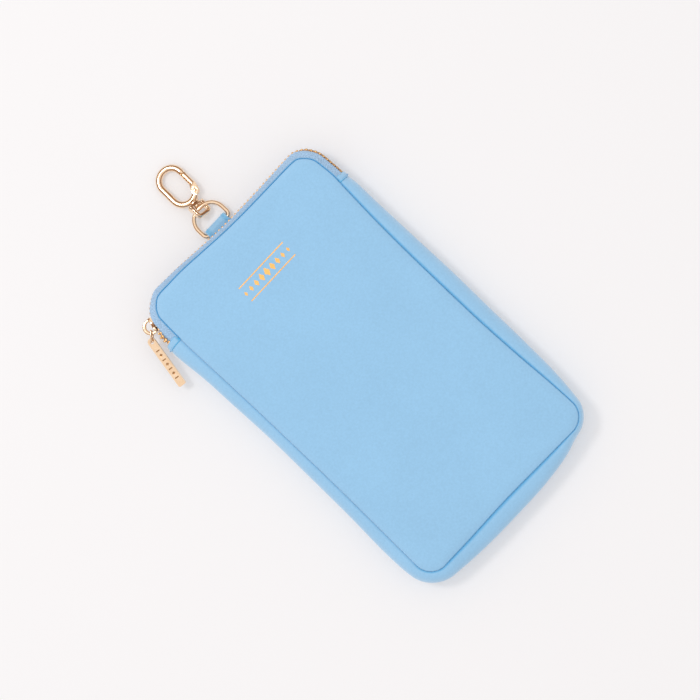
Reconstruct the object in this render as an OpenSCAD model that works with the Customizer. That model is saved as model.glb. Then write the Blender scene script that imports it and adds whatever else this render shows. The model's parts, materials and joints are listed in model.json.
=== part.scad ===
// Padded phone pouch lying on its back, with a wrap-round metal zip, a loop tab and a swivel clip.
// Millimetres. X runs across the pouch, Y towards the zip end and Z up through its thickness.
// The origin is on the flat of the back, midway between the seams.

/* [Pouch] */
// Width of the front and back panels between their seams
panel_w = 107; // [88:1:140]
// Length of the front and back panels between their seams
panel_h = 188; // [150:1:230]
// Thickness of the filled pouch at its middle
body_t = 18; // [15.5:0.5:24]
// How far each panel's crown stands above its seam
crown_h = 1.8; // [1:0.1:2.4]
// Width of the rounded edge of each panel
crown_w = 5; // [3:0.2:5.4]
// Seam radius of the two corners at the zip end
top_corner_r = 6.6; // [5.5:0.1:9]
// Seam radius of the two bottom corners
bottom_corner_r = 9.6; // [6:0.2:14]
// Thickness of the outer fabric
shell_t = 0.8; // [0.5:0.05:1.1]
// Thickness of the foam in the panels
foam_t = 1.8; // [1:0.1:2.4]
// Thickness of the foam in the side wall
side_foam_t = 1.2; // [0.8:0.1:1.8]
// Thickness of the lining
lining_t = 0.4; // [0.2:0.05:0.6]
// Width of the bound seam allowance inside
binding_w = 3.6; // [2:0.1:4.4]
// Thickness of the bound seam allowance inside
binding_t = 1.2; // [0.8:0.1:1.6]

/* [Zip] */
// How far the zip runs down each side from the top seam
mouth_drop = 19; // [16:0.5:30]
// Visible length of the fabric tab over each end of the zip
end_tab_l = 3.6; // [2:0.1:6]
// Thickness of the folded fabric of the end tabs
end_tab_t = 1.2; // [1:0.05:1.6]
// How far the chain stands out from the panel seams
chain_out = 4.2; // [3.4:0.1:5]
// Thickness of the zip tape
tape_t = 0.6; // [0.4:0.05:0.65]
// Pitch of the metal teeth along each row
tooth_pitch = 2.2; // [2.15:0.05:2.8]
// Width of a tooth along the chain
tooth_w = 1; // [0.7:0.05:1.02]
// Length of a tooth across the chain
tooth_l = 3.3; // [2.8:0.1:3.4]
// Thickness of a tooth
tooth_t = 2.2; // [1.6:0.1:2.3]
// How far the head of a tooth reaches past the middle of the chain
tooth_reach = 0.7; // [0.4:0.05:0.9]
// Distance of each row from its meshed place where the slider has parted them
row_part = 1.5; // [1.4:0.05:1.7]

/* [Slider and pull] */
// Length of the slider along the chain
slider_l = 8; // [7.6:0.1:8.4]
// Width of the slider at its shoulders
slider_w = 9.8; // [9.6:0.1:10.4]
// Thickness of each plate of the slider
plate_t = 1.15; // [0.7:0.05:1.2]
// Free depth between the two plates
channel_t = 3.3; // [3.2:0.05:3.6]
// How far round the corner's bend the slider stands
slider_turn = 10; // [6:1:14]
// Outer radius of the bail on the slider
bail_r = 4; // [3.6:0.1:4.2]
// How far the bail's arch stands off the outer plate
bail_rise = 0.8; // [0.4:0.1:1.2]
// Thickness of the bail
bail_t = 1.3; // [1:0.1:1.5]
// Width of the bail
bail_w = 2.4; // [1.8:0.1:2.8]
// Wire diameter of the pull's link
link_d = 1; // [0.8:0.05:1.2]
// Length of the pull's bar
bar_l = 28; // [20:1:40]
// Width of the pull's bar
bar_w = 4.2; // [3.6:0.1:4.6]
// Thickness of the pull's bar
bar_t = 1.2; // [0.9:0.1:1.5]
// Radius of the eye in the pull's bar
bar_eye_r = 1.1; // [1:0.05:1.3]

/* [Loop and ring] */
// Width of the fabric loop that holds the ring
loop_w = 13.4; // [9:0.1:13.6]
// Thickness of the loop's fabric
loop_t = 0.6; // [0.4:0.05:0.8]
// How far the loop's fold stands past the ring's bar
loop_slack = 1.7; // [0:0.1:2.4]
// How far the ring's bar stands out past the room it needs at the zip's tape
loop_reach = 0.6; // [0:0.1:2]
// Wire diameter of the ring
ring_d = 2.2; // [1.8:0.1:2.4]
// Radius of the ring's sides, on the wire's centre line
ring_r = 7.5; // [6.7:0.1:8.2]
// Height of the ring's arch above its straight bar, on the wire's centre line
ring_h = 12.8; // [11:0.1:15]
// Length of the straight stretch at the ring's far side
ring_flat = 1.8; // [1.8:0.1:5]
// Radius of the ring's two corners, on the wire's centre line
ring_corner_r = 2.25; // [2:0.05:3]

/* [Clip] */
// Outer width of the oval clip
clip_w = 16.2; // [14:0.1:20]
// Outer length of the oval clip
clip_l = 24.6; // [22:0.1:32]
// Wire diameter of the clip
clip_d = 3.5; // [2.6:0.1:3.8]
// Wire diameter of the swivel's eye
eye_d = 1.9; // [1.6:0.1:2]
// Radius of the swivel's eye, on the wire's centre line
eye_r = 3.6; // [3.1:0.1:3.8]
// How far the swivel's eye hangs slack past the ring
eye_slack = 1.4; // [0:0.1:2]
// Thickness of the swivel's plate along the clip
eye_plate_t = 1.1; // [1:0.1:1.8]
// Radius of the swivel pin's shank
pin_r = 1.1; // [0.8:0.05:1.3]
// Diameter of the gate's rod
gate_d = 3.2; // [2.4:0.1:3.4]
// How far round the oval's lower corner the gate's hinge stands
hinge_angle = 40; // [25:1:45]
// Radius of the gate's hinge pin
gate_pin_r = 0.5; // [0.4:0.05:0.6]

/* [Hidden] */
$fn = 48;

// Overrun of a cutting tool past the face that it cuts
over = 1;
half_w = panel_w / 2;
half_h = panel_h / 2;
mid_z = body_t / 2;
seam_r = mid_z - crown_h;
wall_t = shell_t + foam_t + lining_t;

// The mouth folds along this line, where the zip ends
fold_y = half_h - mouth_drop;
// Slit between the pieces on the two sides of the fold
fold_slit = 0.3;
// Space between an end of the zip and its tab
tape_end_gap = 0.2;
tab_y = fold_y - end_tab_l;
edge_steps = 5;

module body_colour() { color("#9fcdee") children(); }
module tape_colour() { color("#8fb3e0") children(); }
module gold_colour() { color("#e8c48c") children(); }

// Drop of a panel's face below its crown, at a distance inwards from the seam
function crown_drop(inward) = crown_h * pow(1 - inward / crown_w, 2);

// Cross-section of a panel's edge between two depths below its outer face, from one distance inwards
// to another: X is outwards from the seam and Y is up.
module edge_profile(depth_a, depth_b, from, to) {
    step = (to - from) / edge_steps;
    near = [for (i = [0:edge_steps]) [-(from + i * step), body_t - crown_drop(from + i * step)]];
    polygon(concat(
        [for (p = near) p - [0, depth_a]],
        [for (i = [edge_steps:-1:0]) near[i] - [0, depth_b]]
    ));
}

// A straight run of a cross-section along +Y, with the section's X outwards along +X
module run(length) {
    translate([0, length, 0]) rotate([90, 0, 0]) linear_extrude(height = length) children();
}

// A quarter turn of a cross-section, whose seam has the radius r
module bend(r) {
    rotate_extrude(angle = 90) translate([r, 0]) children();
}

// The cross-section taken down both sides from top_y and round the bottom
module round_bottom(top_y) {
    side = top_y + half_h - bottom_corner_r;
    low_y = bottom_corner_r - half_h;
    in_x = half_w - bottom_corner_r;
    translate([half_w, low_y, 0]) run(side) children();
    translate([in_x, low_y, 0]) rotate([0, 0, -90]) bend(bottom_corner_r) children();
    translate([-in_x, -half_h, 0]) rotate([0, 0, -90]) run(2 * in_x) children();
    translate([-in_x, low_y, 0]) rotate([0, 0, 180]) bend(bottom_corner_r) children();
    translate([-half_w, top_y, 0]) rotate([0, 0, 180]) run(side) children();
}

// The cross-section taken up both sides from bottom_y and round the zip end
module round_top(bottom_y) {
    high_y = half_h - top_corner_r;
    in_x = half_w - top_corner_r;
    side = high_y - bottom_y;
    translate([half_w, bottom_y, 0]) run(side) children();
    translate([in_x, high_y, 0]) bend(top_corner_r) children();
    translate([in_x, half_h, 0]) rotate([0, 0, 90]) run(2 * in_x) children();
    translate([-in_x, high_y, 0]) rotate([0, 0, 90]) bend(top_corner_r) children();
    translate([-half_w, high_y, 0]) rotate([0, 0, 180]) run(side) children();
}

// Outline of a panel, drawn in from the seam by inset
module panel_outline(inset) {
    top_r = top_corner_r - inset;
    low_r = bottom_corner_r - inset;
    wide = half_w - inset;
    tall = half_h - inset;
    for (side = [-1, 1]) {
        translate([side * (wide - top_r), tall - top_r]) circle(r = top_r);
        translate([side * (wide - low_r), low_r - tall]) circle(r = low_r);
    }
    translate([top_r - wide, -tall + low_r]) square([2 * (wide - top_r), 2 * tall - low_r]);
    translate([low_r - wide, -tall]) square([2 * (wide - low_r), 2 * low_r]);
    translate([-wide, low_r - tall]) square([2 * wide, 2 * tall - top_r - low_r]);
}

// One layer of the front, between two depths below its outer face
module front_layer(depth_a, depth_b) {
    translate([0, 0, body_t - depth_b]) linear_extrude(height = depth_b - depth_a) panel_outline(crown_w);
    round_bottom(0) edge_profile(depth_a, depth_b, 0, crown_w);
    round_top(0) edge_profile(depth_a, depth_b, 0, crown_w);
}

// Everything below the fold, or beyond it, with half the slit left out on each side
module below_fold() {
    intersection() {
        children();
        translate([-panel_w, -panel_h, 0]) cube([2 * panel_w, panel_h + fold_y - fold_slit / 2, 2 * body_t]);
    }
}
module beyond_fold() {
    intersection() {
        children();
        translate([-panel_w, fold_y + fold_slit / 2, 0]) cube([2 * panel_w, panel_h, 2 * body_t]);
    }
}

// The back is the front turned over about the middle of the thickness
module turned_over() { translate([0, 0, body_t]) mirror([0, 0, 1]) children(); }

// Half ring that closes the side of the pouch between the two seams, from one depth to another
module side_profile(depth_a, depth_b) {
    intersection() {
        translate([0, mid_z]) difference() {
            circle(r = seam_r - depth_a);
            circle(r = seam_r - depth_b);
        }
        translate([0, 0]) square([body_t, body_t]);
    }
}

module back_panel() { body_colour() turned_over() front_layer(0, shell_t); }
module back_foam() { color("#f1efe9") turned_over() front_layer(shell_t, shell_t + foam_t); }
module back_lining() { color("#cfd9e6") turned_over() front_layer(shell_t + foam_t, wall_t); }
module front_panel() { body_colour() below_fold() front_layer(0, shell_t); }
module front_foam() { color("#f1efe9") below_fold() front_layer(shell_t, shell_t + foam_t); }
module front_lining() { color("#cfd9e6") below_fold() front_layer(shell_t + foam_t, wall_t); }
module mouth_panel() { body_colour() beyond_fold() front_layer(0, shell_t); }
module mouth_foam() { color("#f1efe9") beyond_fold() front_layer(shell_t, shell_t + foam_t); }
module mouth_lining() { color("#cfd9e6") beyond_fold() front_layer(shell_t + foam_t, wall_t); }

// The seam allowances, bound with tape and laid flat against the lining
binding_from = 0.4;
module binding_profile() {
    intersection() {
        edge_profile(wall_t, wall_t + binding_t, 0, crown_w);
        translate([-binding_from - binding_w, 0]) square([binding_w, body_t]);
    }
}
module front_binding() { color("#b9c9de") round_bottom(tab_y) binding_profile(); }
module back_binding() {
    color("#b9c9de") turned_over() {
        round_bottom(0) binding_profile();
        round_top(0) binding_profile();
    }
}
module mouth_binding() { color("#b9c9de") round_top(fold_y + fold_slit) binding_profile(); }

module gusset() { body_colour() round_bottom(tab_y) side_profile(0, shell_t); }
module gusset_foam() { color("#f1efe9") round_bottom(tab_y) side_profile(shell_t, shell_t + side_foam_t); }
module gusset_lining() {
    color("#cfd9e6") round_bottom(tab_y)
        side_profile(shell_t + side_foam_t, shell_t + side_foam_t + lining_t);
}

// Folded fabric over an end of the zip, on the right and turned round for the left
module zip_tab() { translate([half_w, tab_y, 0]) run(end_tab_l) side_profile(0, end_tab_t); }
module zip_tab_right() { body_colour() zip_tab(); }
module zip_tab_left() { body_colour() mirror([1, 0, 0]) zip_tab(); }

// Half width of the chain across its teeth
chain_half = tooth_l - tooth_reach;
// How far the woven edge of the tape reaches into the teeth
tape_grip = 1.4;
// The tape stands upright to this height above the chain's middle, then turns in to the seam
shoulder_gap = 0.5;
tape_upright = slider_w / 2 + shoulder_gap;
// Space between a parted tooth's slot and the tape inside the slider
part_gap = 0.1;

// Cross-section of the front tape: X outwards from the seam, edge is its foot above the chain's middle
module tape_profile(edge) {
    seam_z = body_t - crown_h;
    bend_z = mid_z + tape_upright;
    out = chain_out + tape_t / 2;
    in = chain_out - tape_t / 2;
    polygon([
        [out, mid_z + edge], [out, bend_z], [0, seam_z],
        [0, seam_z - shell_t], [in, bend_z - tape_t], [in, mid_z + edge]
    ]);
}
// Radius of the chain's middle line round a corner
chain_bend_r = top_corner_r + chain_out;
// The slider parts the rows from this far ahead of its middle, given also as an angle round the bend
part_lead = 2.2;
parted_turn = slider_turn + part_lead / chain_bend_r * 180 / PI;

// Height of the tape's foot above the chain's middle where the rows are parted
parted_foot = chain_half + row_part - tape_grip + part_gap;
module zip_tape() {
    foot = fold_y + tape_end_gap;
    difference() {
        round_top(foot) tape_profile(chain_half - tape_grip);
        translate([-turn_x, top_corner_start(), mid_z]) linear_extrude(height = parted_foot) polygon([
            [0, 0], [0, foot - over - top_corner_start()], [-2 * chain_bend_r, foot - over - top_corner_start()],
            2 * chain_bend_r * [-cos(parted_turn), sin(parted_turn)]
        ]);
    }
}
module zip_tape_front() { tape_colour() zip_tape(); }
module zip_tape_back() { tape_colour() turned_over() zip_tape(); }

// The chain's middle line, measured from its foot on the left side up and round to the right
chain_side = top_corner_start() - fold_y - tape_end_gap;
function top_corner_start() = half_h - top_corner_r;
chain_arc = chain_bend_r * PI / 2;
chain_top = panel_w - 2 * top_corner_r;
chain_l = 2 * chain_side + 2 * chain_arc + chain_top;
turn_x = half_w - top_corner_r;

// [x, y, turn about Z] of the chain at a distance along it, with +X outwards before the turn
function chain_at(s) =
    s < chain_side ? [-half_w - chain_out, top_corner_start() - chain_side + s, 180]
    : s < chain_side + chain_arc ? bend_at(-turn_x, 180 - (s - chain_side) / chain_bend_r * 180 / PI)
    : s < chain_side + chain_arc + chain_top ?
        [-turn_x + s - chain_side - chain_arc, half_h + chain_out, 90]
    : s < chain_l - chain_side ?
        bend_at(turn_x, 90 - (s - chain_side - chain_arc - chain_top) / chain_bend_r * 180 / PI)
    : [half_w + chain_out, top_corner_start() + chain_l - chain_side - s, 0];
function bend_at(x, angle) =
    [x + chain_bend_r * cos(angle), top_corner_start() + chain_bend_r * sin(angle), angle];

// How far the slider has moved a row off its meshed place, at a distance along the chain
meshed_from = chain_side + chain_bend_r * parted_turn * PI / 180 - tooth_w / 2;
part_run = 4;
function smooth(t) = let (u = max(0, min(1, t))) u * u * (3 - 2 * u);
function row_shift(s) = row_part * smooth((meshed_from - s) / part_run);

// A tooth of the front row: two legs that grip the tape's edge and a head that narrows past the middle
slot_play = 0.1;
tooth_slot = tape_t + slot_play;
head_taper = 0.2;
module tooth() {
    difference() {
        translate([0, tooth_w / 2, 0]) rotate([90, 0, 0]) linear_extrude(height = tooth_w) polygon([
            [tooth_t / 2, chain_half], [tooth_t / 2, 0], [tooth_t / 2 - head_taper, -tooth_reach],
            [head_taper - tooth_t / 2, -tooth_reach], [-tooth_t / 2, 0], [-tooth_t / 2, chain_half]
        ]);
        translate([-tooth_slot / 2, -tooth_w, chain_half - tape_grip - part_gap])
            cube([tooth_slot, 2 * tooth_w, tape_grip + part_gap + over]);
    }
}
tooth_count = floor(chain_l / tooth_pitch);
module teeth(offset_share) {
    for (i = [0:tooth_count - 1]) {
        s = (i + offset_share) * tooth_pitch;
        at = chain_at(s);
        translate([at[0], at[1], mid_z + row_shift(s)]) rotate([0, 0, at[2]]) tooth();
    }
}
front_row_share = 0.25;
back_row_share = 0.75;
module zip_teeth_front() { gold_colour() teeth(front_row_share); }
module zip_teeth_back() { gold_colour() turned_over() teeth(back_row_share); }

// The slider's own frame: +X outwards from the pouch, +Y towards the parted rows, middle of the chain near 0
slider_inset = 0.38;
slider_at_r = chain_bend_r - slider_inset;
module at_slider() {
    translate([-turn_x, top_corner_start(), mid_z]) rotate([0, 0, -slider_turn])
        translate([-slider_at_r, 0, 0]) rotate([0, 0, 180]) children();
}
slider_half = channel_t / 2 + plate_t;
flange_t = 0.5;
tape_play = 1;
tape_slot = tape_t + tape_play;
tail_play = 0.25;
tail_half = chain_half + flange_t + tail_play;
nose_notch = 0.7;

// Outline of the slider's plates, drawn in by inset: narrow at the meshed end, wide at the shoulders
module slider_outline(inset) {
    end_share = 0.5;
    shoulder_share = 0.3;
    tail = slider_l * end_share;
    wide = slider_w / 2 - inset;
    narrow = tail_half - inset;
    bevel = flange_t;
    half = [
        [-tail, narrow - bevel], [bevel - tail, narrow], [-tail / 4, narrow + inset / 4],
        [tail * shoulder_share, wide], [tail - 2 * bevel, wide], [tail, wide - 2 * bevel]
    ];
    polygon(concat(half, [[tail - nose_notch, 0]], [for (i = [5:-1:0]) [half[i][0], -half[i][1]]]));
}
// Turns a flat outline drawn as [Y, Z] into a plate that starts at x and is thick deep
module plate(x, thick) {
    translate([x, 0, 0]) rotate([90, 0, 90]) linear_extrude(height = thick) children();
}
wedge_tip_share = 0.34;
wedge_half = 0.6;
module slider_body() {
    gold_colour() at_slider() {
        plate(channel_t / 2, plate_t) slider_outline(0);
        plate(-slider_half, plate_t) slider_outline(0);
        for (x = [tape_slot / 2, -channel_t / 2])
            plate(x, channel_t / 2 - tape_slot / 2) difference() {
                slider_outline(0);
                slider_outline(flange_t);
                square([2 * slider_l, 2 * (chain_half + part_gap)], center = true);
                translate([slider_l / 4, -slider_w / 2 + flange_t])
                    square([slider_l, slider_w - 2 * flange_t]);
            }
        plate(-channel_t / 2, channel_t) polygon([
            [slider_l / 2 * wedge_tip_share, 0], [slider_l / 2 - 2 * nose_notch, wedge_half],
            [slider_l / 2 - nose_notch, 0], [slider_l / 2 - 2 * nose_notch, -wedge_half]
        ]);
    }
}

// Bail over the outer plate: two short legs under a half-round arch
module bail_shape(r) {
    translate([bail_rise, 0]) circle(r = r);
    translate([-over, -r]) square([bail_rise + over, 2 * r]);
}
module slider_bail() {
    gold_colour() at_slider() translate([slider_half, 0, -bail_w / 2]) linear_extrude(height = bail_w)
        intersection() {
            difference() {
                bail_shape(bail_r);
                bail_shape(bail_r - bail_t);
            }
            translate([0, -bail_r]) square([bail_rise + bail_r, 2 * bail_r]);
        }
}

// The link turns round the middle of the bail's arch, and the bar hangs on the link's far end
link_lean = 56;
link_gap = 0.1;
link_near = bail_r - bail_t - link_d / 2 - link_gap;
bar_gap = 1.5;
link_far = bail_r + bar_w / 2 + bar_gap;
link_side_gap = 0.3;
link_half = bail_w / 2 + link_side_gap + link_d / 2;
module at_link() { at_slider() translate([slider_half + bail_rise, 0, 0]) rotate([0, 0, link_lean]) children(); }
module pull_link() {
    gold_colour() at_link() {
        for (x = [link_near, link_far])
            translate([x, 0, -link_half]) cylinder(h = 2 * link_half, d = link_d);
        for (z = [-link_half, link_half]) {
            translate([link_near, 0, z]) rotate([0, 90, 0]) cylinder(h = link_far - link_near, d = link_d);
            for (x = [link_near, link_far]) translate([x, 0, z]) sphere(d = link_d);
        }
    }
}

// The bar lies beside the pouch, drooping a little and rolled to show its face and one edge
bar_lean = 33;
bar_droop = 6;
bar_roll = 12;
module bar_outline() {
    r = bar_w / 2;
    end_r = bar_w / 4;
    circle(r = r);
    translate([0, -r]) square([bar_l - r - end_r, bar_w]);
    for (side = [-1, 1]) translate([bar_l - r - end_r, side * (r - end_r)]) circle(r = end_r);
    translate([bar_l - r - end_r, end_r - r]) square([end_r, bar_w - 2 * end_r]);
}
module pull_bar() {
    gold_colour() at_link() translate([link_far, 0, 0]) rotate([0, 0, bar_lean])
        rotate([bar_roll, bar_droop, 0]) translate([0, 0, -bar_t / 2]) linear_extrude(height = bar_t)
            difference() {
                bar_outline();
                circle(r = bar_eye_r);
            }
}

// The ring's straight bar lies in a fabric loop that comes out of the back seam, under the zip
loop_x = -2.9;
loop_clear = 0.2;
loop_outer_r = ring_d / 2 + loop_clear + loop_t;
loop_gap = 0.15;
loop_foot_r = 0.6;
loop_lift = 0.2;
ring_z = loop_outer_r + loop_lift;
tape_out = chain_out + tape_t / 2;
tape_low_bend = mid_z - tape_upright;
tape_slant = atan2(tape_low_bend - crown_h, tape_out);
loop_room = loop_outer_r + loop_gap;
under_slant = (loop_room + (ring_z - crown_h) * cos(tape_slant)) / sin(tape_slant);
past_bend = tape_out + sqrt(max(0, pow(loop_room, 2) - pow(tape_low_bend - ring_z, 2)));
ring_y = half_h + min(tape_out + loop_room, max(under_slant, past_bend)) + loop_reach;
loop_tip_r = 0.7;
// The loop's bend round the ring's bar and its flatter tip, grown by an amount
module loop_bend(grow) {
    translate([ring_y, ring_z]) circle(r = ring_d / 2 + loop_clear + grow);
    translate([ring_y + loop_slack, ring_z]) circle(r = loop_tip_r + grow);
}
module ring_loop() {
    body_colour() translate([loop_x - loop_w / 2, 0, 0]) rotate([90, 0, 90]) linear_extrude(height = loop_w)
        difference() {
            hull() {
                translate([half_h + loop_foot_r, crown_h / 2 + loop_foot_r / 2]) circle(r = loop_foot_r);
                loop_bend(loop_t);
            }
            hull() loop_bend(0);
        }
}

// The ring's own frame: its straight bar along X through the origin, its far side along +Y
ring_tilt = 9.5;
ring_half_bar = ring_flat / 2 + ring_r - ring_corner_r;
module at_ring() { translate([loop_x, ring_y, ring_z]) rotate([ring_tilt, 0, 0]) children(); }
module d_ring() {
    gold_colour() at_ring() {
        translate([-ring_half_bar, 0, 0]) rotate([0, 90, 0]) cylinder(h = 2 * ring_half_bar, d = ring_d);
        translate([-ring_flat / 2, ring_h, 0]) rotate([0, 90, 0]) cylinder(h = ring_flat, d = ring_d);
        for (side = [0, 1]) mirror([side, 0, 0]) {
            translate([ring_half_bar, ring_corner_r, 0]) rotate([0, 0, -90])
                rotate_extrude(angle = 90) translate([ring_corner_r, 0]) circle(d = ring_d);
            translate([ring_half_bar + ring_corner_r, 0, 0])
                rod(ring_corner_r, ring_h - ring_r - ring_corner_r, ring_d / 2);
            translate([ring_flat / 2, ring_h - ring_r, 0])
                rotate_extrude(angle = 90) translate([ring_r, 0]) circle(d = ring_d);
        }
    }
}

// The clip's own frame: on the ring's far side, +Y along the clip, which leans down to rest its end
swivel_gap = 0.1;
head_h = 0.7;
head_y = ring_d / 2 + swivel_gap;
eye_plate_y = head_y + head_h + swivel_gap;
clip_start = eye_plate_y + eye_plate_t + swivel_gap;
boss_h = 0.5;
clip_y = clip_start + boss_h;
clip_top = clip_y + clip_l - clip_d / 2;
hang_y = ring_y + ring_h * cos(ring_tilt);
hang_z = ring_z + ring_h * sin(ring_tilt);
clip_lean = asin((hang_z - clip_d / 2) / clip_top);
module at_clip() { translate([loop_x, hang_y, hang_z]) rotate([-clip_lean, 0, 0]) children(); }
// A rod along +Y, and a hole's tool along +Y
module rod(y, length, r) { translate([0, y, 0]) rotate([-90, 0, 0]) cylinder(h = length, r = r); }

eye_turn = 42;
eye_play = 0.25;
plate_rim = 0.25;
eye_plate_r = eye_r + eye_d / 2 + plate_rim;
eye_plate_half = 1.6;
eye_mid = eye_r - ring_d / 2 - eye_d / 2 - eye_play - eye_slack;
head_inset = 0.35;
head_r = eye_r - eye_d / 2 - head_inset;
pin_clear = 0.05;
module swivel_eye() {
    gold_colour() at_clip() rotate([0, eye_turn, 0]) difference() {
        union() {
            translate([0, eye_mid, 0]) rotate([0, 0, 180]) rotate_extrude(angle = 180)
                translate([eye_r, 0]) circle(d = eye_d);
            for (side = [-1, 1]) translate([side * eye_r, 0, 0])
                rod(eye_mid, eye_plate_y + eye_plate_t / 2 - eye_mid, eye_d / 2);
            intersection() {
                translate([-eye_plate_r - over, eye_plate_y, -eye_plate_half])
                    cube([2 * eye_plate_r + 2 * over, eye_plate_t, 2 * eye_plate_half]);
                rod(eye_plate_y, eye_plate_t, eye_plate_r);
            }
        }
        rod(eye_plate_y - over, eye_plate_t + 2 * over, pin_r + pin_clear);
    }
}

pin_seat = 0.02;
boss_r = 2.4;
pin_depth = 0.4;
pin_end = clip_y + pin_depth;
module swivel_pin() {
    gold_colour() at_clip() {
        rod(head_y, head_h, head_r);
        rod(head_y, pin_end - head_y, pin_r);
    }
}

// Centre line of the oval, and the gate on its right-hand side
clip_r = clip_w / 2 - clip_d / 2;
low_y = clip_y + clip_d / 2 + clip_r;
high_y = clip_top - clip_r;
hinge_x = clip_r * cos(hinge_angle);
hinge_y = low_y - clip_r * sin(hinge_angle);
nose_l = 1.5;
tip_y = high_y - nose_l;
knuckle_rim = 0.2;
knuckle_r = clip_d / 2 + knuckle_rim;
tongue_rim = 0.1;
tongue_t = 1.3;
cheek_gap = 0.1;
turn_gap = 0.2;
tip_slant = 30;
// Part of the oval's lower end, from the left side round by an angle
module low_arc(angle, wire_d) {
    translate([0, low_y, 0]) rotate([0, 0, 180]) rotate_extrude(angle = angle)
        translate([clip_r, 0]) circle(d = wire_d);
}
// Space for the knuckles to turn in, from the tongue outwards on both faces
module cheek_space(from, r) {
    for (side = [0, 1]) mirror([0, 0, side]) translate([hinge_x, hinge_y, from]) cylinder(h = clip_d, r = r);
}
module clip_frame() {
    gold_colour() at_clip() difference() {
        union() {
            rod(clip_start, clip_y + clip_d / 2 - clip_start, boss_r);
            translate([-clip_r, 0, 0]) rod(low_y, high_y - low_y, clip_d / 2);
            translate([clip_r, 0, 0]) rod(tip_y - over, high_y - tip_y + over, clip_d / 2);
            translate([0, high_y, 0]) rotate_extrude(angle = 180)
                translate([clip_r, 0]) circle(d = clip_d);
            low_arc(180 - hinge_angle, clip_d);
            translate([hinge_x, hinge_y, -tongue_t / 2]) cylinder(h = tongue_t, r = clip_d / 2 + tongue_rim);
        }
        cheek_space(tongue_t / 2, knuckle_r + turn_gap);
        translate([hinge_x, hinge_y, -clip_d]) cylinder(h = 2 * clip_d, r = gate_pin_r + pin_seat);
        tip_tool(0);
        rod(clip_start - over, pin_end - clip_start + over, pin_r + pin_seat);
    }
}
// Space under the slanted nose of the frame, with the gate's top cut lower by gap
module tip_tool(gap) {
    translate([clip_r, tip_y - gap, 0]) rotate([0, 0, -tip_slant]) translate([-clip_d, -clip_d, -clip_d])
        cube([2 * clip_d, clip_d, 2 * clip_d]);
}
module clip_gate() {
    gold_colour() at_clip() difference() {
        union() {
            mirror([1, 0, 0]) low_arc(hinge_angle, gate_d);
            difference() {
                translate([clip_r, 0, 0]) rod(low_y, high_y - low_y, gate_d / 2);
                translate([clip_r, tip_y - turn_gap, 0]) rotate([0, 0, -tip_slant])
                    translate([-clip_d, 0, -clip_d]) cube([2 * clip_d, 2 * clip_d, 2 * clip_d]);
            }
            translate([hinge_x, hinge_y, -clip_d / 2]) cylinder(h = clip_d, r = knuckle_r);
        }
        translate([hinge_x, hinge_y, -tongue_t / 2 - cheek_gap])
            cylinder(h = tongue_t + 2 * cheek_gap, r = knuckle_r + turn_gap);
        translate([hinge_x, hinge_y, -clip_d]) cylinder(h = 2 * clip_d, r = gate_pin_r + pin_clear);
        at_spring() rod(0, spring_reach, spring_bore);
    }
}
module gate_pin() {
    gold_colour() at_clip() translate([hinge_x, hinge_y, -clip_d / 2]) cylinder(h = clip_d, r = gate_pin_r);
}

// Plunger spring in the foot of the gate, pressing on the frame's tongue along a chord of the wire's bend
spring_bore = 0.7;
spring_l = 2.3;
spring_wire = 0.25;
spring_turns = 5;
spring_play = 0.1;
spring_r = spring_bore - spring_wire / 2 - spring_play;
spring_start = knuckle_r + turn_gap + spring_wire;
spring_reach = spring_start + spring_l;
spring_slant = hinge_angle - asin(spring_reach / 2 / clip_r);
spring_sides = 6;
spring_rings = 10;
module at_spring() { translate([hinge_x, hinge_y, 0]) rotate([0, 0, -spring_slant]) children(); }
module gate_spring() {
    steps = spring_turns * spring_rings;
    pitch = spring_l / (spring_turns + 1);
    ring = function (k) let (a = 360 * k / spring_rings, up = pitch * k / spring_rings)
        [for (j = [0:spring_sides - 1]) let (b = 360 * j / spring_sides, r = spring_r + spring_wire / 2 * cos(b))
            [r * cos(a), up + spring_wire / 2 * sin(b), r * sin(a)]];
    points = [for (k = [0:steps]) each ring(k)];
    sides = [for (k = [0:steps - 1]) for (j = [0:spring_sides - 1]) let (
            a = k * spring_sides + j, b = k * spring_sides + (j + 1) % spring_sides)
        each [[a, b, b + spring_sides], [a, b + spring_sides, a + spring_sides]]];
    caps = [[for (j = [spring_sides - 1:-1:0]) j], [for (j = [0:spring_sides - 1]) steps * spring_sides + j]];
    color("#c8c8cc") at_clip() at_spring() translate([0, spring_start, 0])
        polyhedron(points = points, faces = concat(sides, caps));
}

back_panel();
back_foam();
back_lining();
back_binding();
front_panel();
front_foam();
front_lining();
front_binding();
gusset();
gusset_foam();
gusset_lining();
mouth_panel();
mouth_foam();
mouth_lining();
mouth_binding();
zip_tab_left();
zip_tab_right();
zip_tape_front();
zip_tape_back();
zip_teeth_front();
zip_teeth_back();
slider_body();
slider_bail();
pull_link();
pull_bar();
ring_loop();
d_ring();
swivel_eye();
swivel_pin();
clip_frame();
clip_gate();
gate_pin();
gate_spring();
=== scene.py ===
"""Looks of a padded phone pouch with a wrap-round metal zip, a loop tab and a swivel clip."""

from __future__ import annotations

import json
import logging
import math
from dataclasses import dataclass
from enum import Enum
from typing import Callable, Sequence

import bmesh
import bpy
import numpy as np
from mathutils import Matrix, Vector
from mathutils.geometry import convex_hull_2d, tessellate_polygon

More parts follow.
